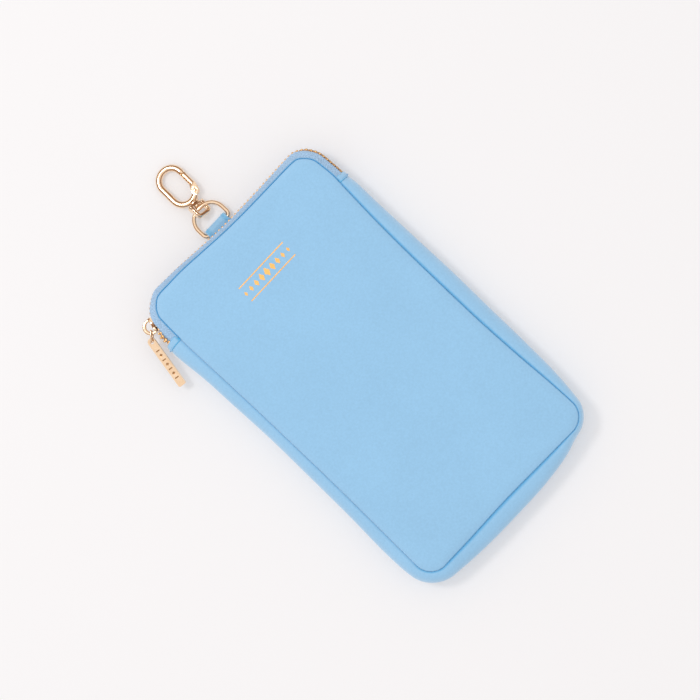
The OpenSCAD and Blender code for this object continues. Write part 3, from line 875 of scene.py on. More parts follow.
@dataclass(frozen=True)
class Slump:
    """How the soft pouch departs from its drawn outline, in millimetres.

    The five curves are pairs of place and shift: left and right give the shift in X along Y, and top,
    bottom and chain the shift in Y along X. A reach is where a shift sets in and how long it takes.
    """

    left: Keys = (
        (-100, 0.5), (-84, 0.5), (-72, 0.57), (-48, 0.83), (-23, 0.89), (1, 0.67), (25, 0.39), (50, -0.23),
        (74, -0.71), (86, -0.46), (91, -0.2), (100, 0.0),
    )
    right: Keys = (
        (-100, 0.9), (-94, 1.0), (-88, 1.3), (-74, 1.03), (-50, -0.26), (-26, -1.09), (-2, -1.2),
        (22.5, -1.07), (47, -0.46), (71.4, 0.63), (79, 1.09), (84, 0.7), (92, 0.2), (100, 0.0),
    )
    top: Keys = (
        (-60, 0.0), (-54, 0.2), (-50.5, 1.0), (-46.5, 2.4), (-40, 2.6), (-31, 2.5), (-16.5, 1.3), (-2, 0.0),
        (12.4, -0.64), (27, -0.88), (41, -1.02), (50, -1.2), (60, -1.2),
    )
    bottom: Keys = ((-60, -0.6), (-43, -0.6), (-28, -0.47), (0, 0.14), (24, -0.2), (50, -0.6), (60, -0.9))
    chain: Keys = ((-60, 0.0), (-46, -0.9), (-31, -1.6), (-2, -1.7), (27, -1.2), (47, -0.65), (60, 0.0))
    side_reach: tuple[float, float] = (12, 38)
    top_reach: tuple[float, float] = (80, 14)
    bottom_reach: tuple[float, float] = (60, 34)
    chain_reach: tuple[float, float] = (94.3, 3.5)
    height_reach: tuple[float, float] = (1.8, 14.4)
    low_share: float = 0.3
    low_share_y: float = 0.6
    corner: tuple[float, float] = (54.0, 94.5)
    corner_radius: float = 5.6
    corner_cut: float = 1.7
    corner_way: tuple[float, float] = (0.72, 0.69)
    end_slip: float = 4.6
    slip_side: tuple[float, float] = (40, 10)
    slip_top: tuple[float, float] = (-95, 17)
    slip_foot: tuple[float, float] = (38, 32)
    end_pull: float = 1.1
    pull_side: tuple[float, float] = (54, 3.5)
    pull_foot: tuple[float, float] = (66, 8)

    def move(self, points: Points) -> Points:
        """Moves drawn points to where the cloth lies.

        Args:
            points: Rows of X, Y and Z.

        Returns:
            The moved points.
        """

        def past(value: Points, reach: tuple[float, float]) -> Points:
            """Smooth step over a reach."""
            return ease((value - reach[0]) / reach[1])

        p = np.array(points, float)
        x, y, z = p[..., 0], p[..., 1], p[..., 2]
        level = self.low_share + (1 - self.low_share) * past(z, self.height_reach)
        dx = past(-x, self.side_reach) * through(self.left, y)
        dx = dx + past(x, self.side_reach) * through(self.right, y)
        dy = past(y, self.top_reach) * through(self.top, x)
        dy = dy + past(-y, self.bottom_reach) * through(self.bottom, x)
        dy = dy + past(y, self.chain_reach) * through(self.chain, x)
        dy = dy - self.end_slip * past(x, self.slip_side) * past(-y, self.slip_top) * past(y, self.slip_foot)
        dx = dx - self.end_pull * past(x, self.pull_side) * past(y, self.pull_foot)
        away = np.hypot(x - self.corner[0], y - self.corner[1]) / self.corner_radius
        pull = self.corner_cut * np.exp(-away * away)
        dx = dx - self.corner_way[0] * pull
        dy = dy - self.corner_way[1] * pull
        p[..., 0] = x + level * dx
        p[..., 1] = y + (self.low_share_y + (1 - self.low_share_y) * level) * dy
        return p


def compass(degrees: float) -> Points:
    """Unit vector in the XY plane at an angle from X."""
    return np.array([math.cos(math.radians(degrees)), math.sin(math.radians(degrees))])


class Perimeter:
    """Places round the drawn seam, each with its outward direction."""

    def __init__(self, sizes: Sizes, arc_steps: int = 7, across: int = 60, up: int = 104) -> None:
        """Sets out four sides that meet at the middles of the corners.

        Args:
            sizes: The pouch's sizes.
            arc_steps: Steps along each half corner.
            across: Steps along the straight part of the top and bottom.
            up: Steps along the straight part of each side.
        """
        self.sizes = sizes
        self.nx, self.ny = across + 2 * arc_steps, up + 2 * arc_steps
        w, h = sizes.half_width, sizes.half_height
        b, t = sizes.bottom_radius, sizes.top_radius
        corners = (((-w + b, -h + b), b), ((w - b, -h + b), b), ((w - t, h - t), t), ((-w + t, h - t), t))
        place, out = [], []

        def turn(centre: tuple[float, float], radius: float, angles: Points) -> None:
            """Adds the places of half a corner.

            Args:
                centre: The corner's middle.
                radius: The corner's radius.
                angles: The angles of its steps; the last one belongs to the next stretch.
            """
            for angle in angles[:-1]:
                way = compass(angle)
                place.append(np.array(centre) + radius * way)
                out.append(way)

        for k in range(4):
            (c0, r0), (c1, r1) = corners[k], corners[(k + 1) % 4]
            first = (225 + 90 * k) % 360
            way = compass(first + 45)
            start, end = np.array(c0) + r0 * way, np.array(c1) + r1 * way
            turn(c0, r0, np.linspace(first, first + 45, arc_steps + 1))
            steps = across if k % 2 == 0 else up
            for i in range(steps):
                place.append(start + (end - start) * i / steps)
                out.append(way)
            turn(c1, r1, np.linspace(first + 45, first + 90, arc_steps + 1))
        self.place, self.out = np.array(place), np.array(out)

    def ring(self, inward: float) -> Points:
        """The closed ring at a distance inwards from the seam."""
        return self.place - self.out * inward

    def run(self, from_y: float, upper: bool) -> tuple[Points, Points]:
        """An open run round one end, from a height on one side to the same height on the other.

        Args:
            from_y: Where the run starts and ends.
            upper: True for the run over the zip end, clockwise from the left, and False for the run
                round the bottom, from the right.

        Returns:
            Places and outward directions, evenly dense, with exact ends.
        """
        w, clear = self.sizes.half_width, 0.2
        keep = self.place[:, 1] > from_y + clear if upper else self.place[:, 1] < from_y - clear
        order = np.nonzero(keep)[0]
        gap = int(np.argmax(np.diff(order) > 1)) + 1 if np.any(np.diff(order) > 1) else 0
        order = np.roll(order, -gap)
        place, out = self.place[order], self.out[order]
        if place[0][0] > 0:
            place, out = place[::-1], out[::-1]
        place = np.vstack([[-w, from_y], place, [w, from_y]])
        out = np.vstack([[-1, 0], out, [1, 0]])
        if not upper:
            place, out = place[::-1], out[::-1]
        return place, out


class Panel:
    """One padded face of the pouch, in layers."""

    fine_insets: tuple[float, ...] = (0.0, 0.22, 0.45, 0.8, 1.3, 1.9, 2.6, 3.4, 4.2, 5.0)
    coarse_insets: tuple[float, ...] = (0.0, 0.8, 1.9, 3.4, 5.0)
    middle_inset: float = 20.0
    tuck_width: float = 0.5
    crease_shade_width: float = 0.42
    rise: float = 0.55
    ripple: float = 0.10

    def __init__(self, sizes: Sizes, slump: Slump, side: Side, fine: bool = True) -> None:
        """Sets out the panel's grid.

        Args:
            sizes: The pouch's sizes.
            slump: Where the cloth lies.
            side: Front or back.
            fine: Whether the grid is dense, as on the outer cloth.
        """
        self.sizes, self.slump, self.side = sizes, slump, side
        self.edge = Perimeter(sizes) if fine else Perimeter(sizes, 5, 22, 96)
        self.insets = self.fine_insets if fine else self.coarse_insets

    def face(self, depth: float, tuck: float) -> tuple[Points, Points, Faces]:
        """One surface of a layer.

        Args:
            depth: Distance below the panel's outer face.
            tuck: How far the edge turns down into the seam.

        Returns:
            Points, the distance of each from the seam, and faces that look outwards on the front.
        """
        s, e = self.sizes, self.edge
        nx, ny = e.nx, e.ny
        size = len(e.place)
        rows, inward = [], []
        for inset in self.insets:
            ring = e.ring(inset)
            turn = tuck * max(0.0, 1 - inset / self.tuck_width) ** 1.5 * (1 - 0.6 * self.calm(ring))
            high = s.depth - depth - s.crown * (1 - inset / s.crown_width) ** 2 - turn
            rows.append(np.column_stack([ring, high]))
            inward.append(np.full(size, inset))
        inner = e.ring(self.insets[-1])
        bottom, right = inner[: nx + 1], inner[nx : nx + ny + 1]
        top = inner[nx + ny : 2 * nx + ny + 1][::-1]
        left = np.vstack([inner[2 * nx + ny :], inner[:1]])[::-1]

        def share(line: Points) -> Points:
            """Length share of each point along a line."""
            run = np.concatenate([[0], np.cumsum(np.linalg.norm(np.diff(line, axis=0), axis=1))])
            return run / run[-1]

        u = (share(bottom) + share(top))[:, None, None] / 2
        v = (share(left) + share(right))[None, :, None] / 2
        grid = (
            (1 - v) * bottom[:, None] + v * top[:, None] + (1 - u) * left[None] + u * right[None]
            - (1 - u) * (1 - v) * bottom[0] - u * (1 - v) * bottom[-1]
            - (1 - u) * v * top[0] - u * v * top[-1]
        )
        middle = grid[1:-1, 1:-1].reshape(-1, 2)
        rows.append(np.column_stack([middle, np.full(len(middle), s.depth - depth)]))
        inward.append(np.full(len(middle), self.middle_inset))
        points = np.vstack(rows)
        faces: Faces = []
        for k in range(len(self.insets) - 1):
            a, b = k * size, (k + 1) * size
            faces += [(a + j, a + (j + 1) % size, b + (j + 1) % size, b + j) for j in range(size)]
        last, first_middle = (len(self.insets) - 1) * size, len(self.insets) * size

        def number(i: int, j: int) -> int:
            """Gives the vertex at a place of the grid.

            Args:
                i: Step across.
                j: Step up.

            Returns:
                The vertex's number.
            """
            if j == 0:
                return last + i
            if i == nx:
                return last + (nx + j) % size
            if j == ny:
                return last + nx + ny + (nx - i)
            if i == 0:
                return last + (2 * nx + ny + (ny - j)) % size
            return first_middle + (i - 1) * (ny - 1) + (j - 1)

        faces += [
            (number(i, j), number(i + 1, j), number(i + 1, j + 1), number(i, j + 1))
            for i in range(nx) for j in range(ny)
        ]
        return points, np.concatenate(inward), faces

    def calm(self, points: Points) -> Points:
        """How flat the seam lies: 1 down the left side below the tab."""
        return ease((-points[:, 0] - 40) / 6) * ease((self.sizes.fold_y - points[:, 1]) / 3)

    def puff(self, points: Points) -> Points:
        """How far the padding lifts the face, which is nothing at the back, where it rests.

        Args:
            points: Drawn places.

        Returns:
            The lift at each place.
        """
        if self.side is Side.BACK:
            return np.zeros(len(points))
        s = self.sizes
        x, y = points[:, 0] / (s.half_width - 3), points[:, 1] / (s.half_height - 3)
        dome = np.clip(1 - x**4, 0, 1) * np.clip(1 - y**4, 0, 1)
        ripple = self.ripple * np.sin(points[:, 0] / 13 + 1.1) * np.sin(points[:, 1] / 21 + 0.4)
        return dome * (self.rise + ripple)

    def layer(
        self, name: str, outer: float, inner: float, finish: Cloth, tuck: float = 0.0,
    ) -> bpy.types.Object:
        """Makes one closed layer between two depths.

        Args:
            name: The piece's name.
            outer: Depth of its outer surface.
            inner: Depth of its inner surface.
            finish: Its finish.
            tuck: How far its edge turns down into the seam.

        Returns:
            The piece.
        """
        over, inward, faces = self.face(outer, tuck)
        under, _, _ = self.face(inner, tuck)
        size, count = len(self.edge.place), len(over)
        seam = np.zeros(count)
        if tuck:
            hem = self.tuck_width
            under[:size] = over[:size] - np.column_stack([self.edge.out * hem, np.full(size, hem)])
            # Painted shade in the crease along the seam, weaker down the left side below the tab, where the
            # seam lies flatter.
            seam = np.clip(1 - inward / self.crease_shade_width, 0, 1) ** 0.8 * (1 - 0.8 * self.calm(over))
        lift = self.puff(over)
        over[:, 2] += lift
        under[:, 2] += lift
        points = np.vstack([over, under])
        if self.side is Side.BACK:
            points[:, 2] = self.sizes.depth - points[:, 2]
        flat = np.vstack([over[:, :2], over[:, :2]]) * MM
        rim = [(j, count + j, count + (j + 1) % size, (j + 1) % size) for j in range(size)]
        all_faces = faces + [tuple(count + k for k in reversed(f)) for f in faces] + rim
        return mesh_piece(
            name, self.slump.move(points), all_faces, finish, flat, np.concatenate([seam, seam]), None,
        )


class Strip:
    """A cloth strip of a changing cross-section along a run of the seam."""

    def __init__(self, slump: Slump) -> None:
        """Keeps where the cloth lies."""
        self.slump = slump

    def piece(
        self, name: str, run: tuple[Points, Points], section: Callable[[int, float], Points], finish: Cloth,
        marks: Callable[[int, Points, float], Points] | None = None, sharp: float | None = None,
    ) -> bpy.types.Object:
        """Sweeps the strip.

        Args:
            name: The piece's name.
            run: Places and outward directions.
            section: Gives the closed cross-section at a station's number and length, as rows of
                distance outwards from the seam and height.
            finish: Its finish.
            marks: Gives how much painted crease shade each point of the section shows, at a station's
            number and length.
            sharp: Angle past which an edge stays hard.

        Returns:
            The piece.
        """
        place, out = run
        length = np.concatenate([[0], np.cumsum(np.linalg.norm(np.diff(place, axis=0), axis=1))])
        rows, uv, seam = [], [], []
        for i, (p, n) in enumerate(zip(place, out)):
            cut = section(i, length[i])
            rows.append(np.column_stack([p + n * cut[:, :1], cut[:, 1]]))
            girth = np.concatenate([[0], np.cumsum(np.linalg.norm(np.diff(cut, axis=0), axis=1))])
            uv.append(np.column_stack([np.full(len(cut), length[i]), girth]))
            seam.append(marks(i, cut, length[i]) if marks else np.zeros(len(cut)))
        points, faces = sweep(self.slump.move(np.array(rows)))
        return mesh_piece(name, points, faces, finish, np.vstack(uv) * MM, np.concatenate(seam), sharp)


@dataclass
class Pouch:
    """The soft body: two padded faces, the side wall, the end tabs and the loop.

    The fullness is how far the side wall stands out, as pairs of length along its run and distance.
    """

    sizes: Sizes
    slump: Slump
    finishes: Finishes
    rows: RowTree
    fullness: Keys = (
        (0, 5.9), (10, 6.0), (24, 6.4), (48, 7.1), (72, 7.5), (96, 7.2), (120, 6.6), (144, 4.9), (154, 3.5),
        (162, 2.4), (170, 2.6), (180, 5.5), (195, 7.8), (219, 8.7), (238, 8.1), (250, 7.2), (259, 6.3),
        (265, 5.9), (271, 6.1), (277, 6.7), (284, 7.0), (316, 6.6), (340, 6.5), (365, 6.3), (389, 6.9),
        (414, 7.5), (424, 8.3), (430, 8.7),
    )
    fold_before: float = 3.5
    fold_after: float = 17.5
    fold_slit: float = 0.3
    tuck: float = 0.7
    wall_steps: int = 23

    def bend(self, piece: bpy.types.Object) -> bpy.types.Object:
        """Bakes the place of a piece of the front into its mesh.

        Args:
            piece: The piece.

        Returns:
            The same piece.
        """
        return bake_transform(piece)

    def faces_of_pouch(self) -> None:
        """Builds the front and back faces in their layers."""
        s, f = self.sizes, self.finishes
        ends = (s.shell, s.shell + s.foam, s.shell + s.foam + s.lining)
        for side, label in ((Side.FRONT, "front"), (Side.BACK, "back")):
            outer, inner = Panel(s, self.slump, side), Panel(s, self.slump, side, False)
            plan = (
                ("cover", outer, 0.0, ends[0], f.shell, self.tuck, "panel", "shell_fabric"),
                ("padding", inner, ends[0], ends[1], f.foam, 0.0, "foam", "foam"),
                ("lining_cloth", inner, ends[1], ends[2], f.lining, 0.0, "lining", "lining_fabric"),
            )
            for name, panel, high, low, finish, tuck, node, slot in plan:
                piece = panel.layer(f"{label}_{name}", high, low, finish, tuck)
                bends = side is Side.FRONT
                nodes = [f"{label}_{node}", f"mouth_{node}"] if bends else [f"{label}_{node}"]
                self.keep(piece, nodes, slot, bends)

    def keep(self, piece: bpy.types.Object, nodes: Sequence[str], slot: str, bends: bool = False) -> None:
        """Attaches a finished piece to the pouch's body, or only bakes its place into its mesh, and hides the
        nodes that it stands for.

        Args:
            piece: The piece.
            nodes: Nodes of the frame that it stands for.
            slot: The record's material slot; not used.
            bends: Whether its place is only baked into its mesh, as for a piece of the front, instead of
                attaching it to the pouch's body.
        """
        if bends:
            self.bend(piece)
        else:
            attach(piece, Body.POUCH.value)
        if nodes:
            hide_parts(*nodes)
        LOG.info("%s: %d faces", piece.name, len(piece.data.polygons))

    def wall_section(
        self, length: float, depth_a: float, depth_b: float, extra: float, groove: float,
    ) -> Points:
        """Closed cross-section of a layer of the side wall.

        Args:
            length: Place along the run from the right-hand tab.
            depth_a: Depth of the outer surface below the wall's face.
            depth_b: Depth of the inner surface.
            extra: How far the layer stands proud of the wall.
            groove: Depth of the turn into the seams.

        Returns:
            Rows of distance outwards and height.
        """
        s = self.sizes
        full = float(through(self.fullness, np.array([length - s.cover_y + s.tab_y]))[0]) + extra
        half = s.middle - s.crown
        turn = np.linspace(-90, 90, self.wall_steps)
        a = np.radians(turn)
        rows = []
        for depth in (depth_a, depth_b):
            x = (full - depth) * np.cos(a) ** 0.82
            z = s.middle + (half - depth * 0.9) * np.sin(a) * (1 - 0.03 * np.cos(a) ** 2)
            rows.append(np.column_stack([x, z]))
        rows[0][:, 1] -= np.sign(turn) * groove * np.clip(1 - np.abs(90 - np.abs(turn)) / 8.5, 0, 1)
        return np.vstack([rows[0], rows[1][::-1]])

    def side_wall(self) -> None:
        """Builds the side wall in its layers, and the tabs over the ends of the zip."""
        s, f = self.sizes, self.finishes
        strip = Strip(self.slump)
        run = Perimeter(s).run(s.cover_y, False)
        a, b = s.shell, s.shell + s.side_foam
        whole = float(np.linalg.norm(np.diff(run[0], axis=0), axis=1).sum())

        def calm(length: float) -> float:
            """How flat the seam lies at a length: most along the left side."""
            return float(ease((length - 272.0) / 8.0))

        def marks(i: int, cut: Points, length: float) -> Points:
            """Painted crease shade close to the two seams."""
            near = np.clip(1 - (cut[:, 0] - 0.05) / 0.45, 0, 1) * (np.abs(cut[:, 1] - s.middle) > 5)
            return 0.7 * near * (1 - 0.85 * calm(length))

        def ends(length: float) -> float:
            """How far the wall tucks under the tabs at its two ends."""
            return -0.2 * float(ease(1 - length / 3.0) + ease(1 - (whole - length) / 3.0))

        layers = (
            ("side_cover", 0.0, a, f.shell, 0.55, ("gusset",), "shell_fabric"),
            ("side_padding", a, b, f.foam, 0.0, ("gusset_foam",), "foam"),
            ("side_lining_cloth", b, b + s.lining, f.lining, 0.0, ("gusset_lining",), "lining_fabric"),
        )
        for name, low, high, finish, groove, nodes, slot in layers:

            def section(i: int, n: float) -> Points:
                """Cross-section of this layer at a length."""
                return self.wall_section(n, low, high, ends(n), groove * (1 - 0.6 * calm(n)))

            piece = strip.piece(name, run, section, finish, marks if groove else None)
            self.keep(piece, nodes, slot)
        for label, x_side, length in (("left", -1, whole), ("right", 1, 0.0)):
            self.end_tab(label, x_side, length)

    def end_tab(self, label: str, x_side: int, length: float) -> None:
        """Builds the folded tab over one end of the zip, with its rows of stitches.

        Args:
            label: Left or right.
            x_side: The sense of X on that side.
            length: Place along the wall's run where the tab stands.
        """
        s, f = self.sizes, self.finishes
        strip = Strip(self.slump)
        ys = np.array([0, 0.25, 0.5, 0.85, 1.5, 2.3, 2.9, 3.15, 3.4, 3.6]) + s.cover_y
        swell = np.array([-0.75, -0.3, 0.0, 0.12, 0.15, 0.1, 0.0, -0.15, -0.4, -0.75])
        raised = np.array([0.985, 1.0, 1.02, 1.03, 1.03, 1.03, 1.03, 1.02, 1.0, 0.985])
        # Painted crease shade at each station of the tab, strongest at the folded hems.
        edges = (0.9, 0.8, 0.2, 0.0, 0.0, 0.0, 0.0, 0.1, 0.6, 0.5)
        groove, stitch_y, stitch_out, steps = 0.45, 0.95, 0.16, 40
        place = np.column_stack([np.full(len(ys), x_side * s.half_width), ys])
        out = np.column_stack([np.full(len(ys), float(x_side)), np.zeros(len(ys))])

        def section(i: int, n: float) -> Points:
            """Gives the tab's cross-section, which stands a little proud of the wall.

            Args:
                i: Station along the tab.
                n: Its length, which changes nothing here.

            Returns:
                Rows of distance outwards and height.
            """
            cut = self.wall_section(length, 0.0, s.tab_thickness, float(swell[i]), groove)
            cut[:, 1] = s.middle + (cut[:, 1] - s.middle) * raised[i]
            return cut

        def marks(i: int, cut: Points, n: float) -> Points:
            """Painted crease shade along the hems, and elsewhere close to the two seams."""
            near = np.clip(1 - (cut[:, 0] - 0.05) / 0.7, 0, 1) * (np.abs(cut[:, 1] - s.middle) > 5)
            return np.full(len(cut), edges[i]) if edges[i] else near

        piece = strip.piece("zip_tab_" + label + "_fold", (place, out), section, f.shell, marks)
        self.keep(piece, ("zip_tab_" + label,), "shell_fabric")
        cut = self.wall_section(length, 0.0, 1.0, stitch_out, 0.0)[: self.wall_steps]
        stations = np.arange(self.wall_steps)
        at = np.interp(np.linspace(70, -70, steps), np.linspace(-90, 90, self.wall_steps), stations)
        wide, high = (np.interp(at, stations, cut[:, k]) for k in (0, 1))
        path = np.column_stack([x_side * (s.half_width + wide), np.full(steps, s.cover_y + stitch_y), high])
        row = self.rows.row(
            "zip_tab_" + label + "_stitches", self.slump.move(path), stitch(0.95, 0.14), 15, f.thread,
        )
        self.keep(row, (), "binding_tape")

    def bindings(self) -> None:
        """Builds the tape over the seam allowances inside."""
        s, f = self.sizes, self.finishes
        strip = Strip(self.slump)
        perimeter = Perimeter(s, 5, 30, 52)
        depth = s.shell + s.foam + s.lining

        def section(front: bool) -> Callable[[int, float], Points]:
            """Makes the cross-section of the binding.

            Args:
                front: Whether it is the front's, and not the back's.

            Returns:
                The section, which is the same at every station.
            """
            inset = np.linspace(s.binding_from, s.binding_from + s.binding_width, 6)
            high = s.depth - depth - s.crown * (1 - inset / s.crown_width) ** 2
            low = high - s.binding
            low[[0, -1]] += 0.3
            cut = np.vstack([np.column_stack([-inset, high]), np.column_stack([-inset, low])[::-1]])
            if not front:
                cut[:, 1] = s.depth - cut[:, 1]
            return lambda i, n: cut

        lower, upper = perimeter.run(s.tab_y, False), perimeter.run(s.fold_y + self.fold_slit, True)
        whole = tuple(np.vstack([line, line[:1]]) for line in (perimeter.place, perimeter.out))
        for label, run, front, bends in (
            ("front", lower, True, False), ("mouth", upper, True, True), ("back", whole, False, False),
        ):
            piece = strip.piece(f"{label}_binding_tape", run, section(front), f.binding)
            self.keep(piece, (f"{label}_binding",), "binding_tape", bends)

    def loop(self) -> None:
        """Builds the fabric loop that holds the ring, with its side stitches."""
        f = self.finishes
        x0, wide, thick, slack = -2.9, 13.4, 0.6, 1.7
        wire_y, wire_z, wire_room, tip_room = 100.87, 2.1, 1.3, 0.7
        seam_y, seam_high, seam_low = 91.2, 2.35, 0.75
        leg, nose_steps = 8, 22
        stitch_in, stitch_first, stitch_last = 1.7, 2, 22

        def side_of(grow: float, spread: float) -> Points:
            """Draws a line from the seam, round the wire and the flatter tip, and back.

            Args:
                grow: How far the line stands off the wire's room.
                spread: How far its two ends at the seam are spread.

            Returns:
                Rows of Y and Z.
            """
            r, tip = wire_room + grow, tip_room + grow
            lean = math.degrees(math.asin((r - tip) / slack))
            over = np.radians(np.linspace(97, 90 - lean, 6))
            under = np.radians(np.linspace(lean - 90, -92, 6))
            nose = np.radians(np.linspace(90 - lean, lean - 90, nose_steps))
            bow = np.vstack([
                np.column_stack([wire_y + r * np.cos(over), wire_z + r * np.sin(over)]),
                np.column_stack([wire_y + slack + tip * np.cos(nose), wire_z + tip * np.sin(nose)]),
                np.column_stack([wire_y + r * np.cos(under), wire_z + r * np.sin(under)]),
            ])
            up = np.linspace((seam_y, seam_high + spread), bow[0], leg)[:-1]
            down = np.linspace(bow[-1], (seam_y, seam_low - spread), leg)[1:]
            return np.vstack([up, bow, down])

        outside, inside = side_of(thick, 0.3), side_of(0.0, -0.3)
        inside[-leg:, 1] = np.maximum(inside[-leg:, 1], seam_low)
        middle = (outside + inside) / 2
        xs = np.array([0, 0.08, 0.3, 0.7, 1.4, 3.2, wide / 2])
        xs = np.concatenate([xs, wide - xs[-2::-1]]) + x0 - wide / 2
        pinch = np.array([0.26, 0.1, 0.02, 0, -0.05, 0, 0])
        pinch = np.concatenate([pinch, pinch[-2::-1]])
        rows = []
        for x, share in zip(xs, pinch):
            a, b = outside + (middle - outside) * share * 2, inside + (middle - inside) * share * 2
            cut = np.vstack([a, b[::-1]])
            rows.append(np.column_stack([np.full(len(cut), x), cut]))
        rows = np.array(rows)
        points, faces = sweep(rows)
        girth = np.concatenate([[0], np.cumsum(np.linalg.norm(np.diff(rows[0][:, 1:], axis=0), axis=1))])
        uv = np.column_stack([points[:, 0], np.tile(girth, len(xs))]) * MM
        seam = np.zeros(rows.shape[:2])
        # Painted shade: rows near each edge of the loop take some of the darker crease colour.
        seam[[3, 4, -5, -4]] = 0.35
        piece = mesh_piece("ring_loop_cloth", points, faces, f.shell, uv, seam.ravel(), None)
        self.keep(piece, ("ring_loop",), "shell_fabric")
        line = outside[stitch_first:stitch_last] + [0, 0.03]
        for k, x in enumerate((x0 - wide / 2 + stitch_in, x0 + wide / 2 - stitch_in)):
            path = np.column_stack([np.full(len(line), x), line])
            row = self.rows.row(f"ring_loop_stitches_{k + 1}", path, stitch(0.9, 0.13), 6, f.thread)
            self.keep(row, (), "binding_tape")

    def motif(self) -> None:
        """Lays a small plain foil pattern of lozenges between two bars on the front."""
        s, f = self.sizes, self.finishes
        cx, cy, pitch, each_side = -1.0, 65.0, 3.7, 4
        tallest, fall, slim = 2.6, 0.32, 0.6
        line_off, line_reach, line_thin = 4.3, 15.5, 0.28
        foil, proud, sunk = 0.05, 0.045, -0.03
        shapes: list[Points] = []
        for k in range(-each_side, each_side + 1):
            half, x = tallest - fall * abs(k), cx + k * pitch
            side = half * slim
            shapes.append(np.array([(x - side, cy), (x, cy - half), (x + side, cy), (x, cy + half)]))
        for y in (cy - line_off, cy + line_off):
            low, high = y - line_thin, y + line_thin
            left, right = cx - line_reach, cx + line_reach
            shapes.append(np.array([(left, low), (right, low), (right, high), (left, high)]))
        parts = []
        panel = Panel(s, self.slump, Side.FRONT)
        for shape in shapes:
            dense = np.vstack([np.linspace(a, b, 9)[:-1] for a, b in zip(shape, np.roll(shape, -1, 0))])
            flat, faces = slab(dense, 0.0, foil)
            flat[:, 2] = s.depth + panel.puff(flat) + np.where(flat[:, 2] > foil / 2, proud, sunk)
            parts.append((self.slump.move(flat), faces))
        points, faces = joined(parts)
        self.keep(mesh_piece("foil_motif", points, faces, f.foil), (), "gold_metal")

    def build(self) -> None:
        """Builds every soft piece."""
        self.faces_of_pouch()
        self.side_wall()
        self.bindings()
        self.loop()
        self.motif()


def stitch(length: float, radius: float) -> tuple[Points, Faces]:
    """A short round-ended thread along Y.

    Args:
        length: Its length.
        radius: The thread's radius.

    Returns:
        Vertices and faces.
    """
    ys = np.array([-0.5, -0.42, -0.25, 0.0, 0.25, 0.42, 0.5]) * length
    rs = np.array([0.25, 0.7, 0.95, 1.0, 0.95, 0.7, 0.25]) * radius
    a = np.linspace(0, 2 * math.pi, 6, endpoint=False)
    rows = np.array([[[r * math.cos(t), y, r * math.sin(t)] for t in a] for y, r in zip(ys, rs)])
    return sweep(rows)


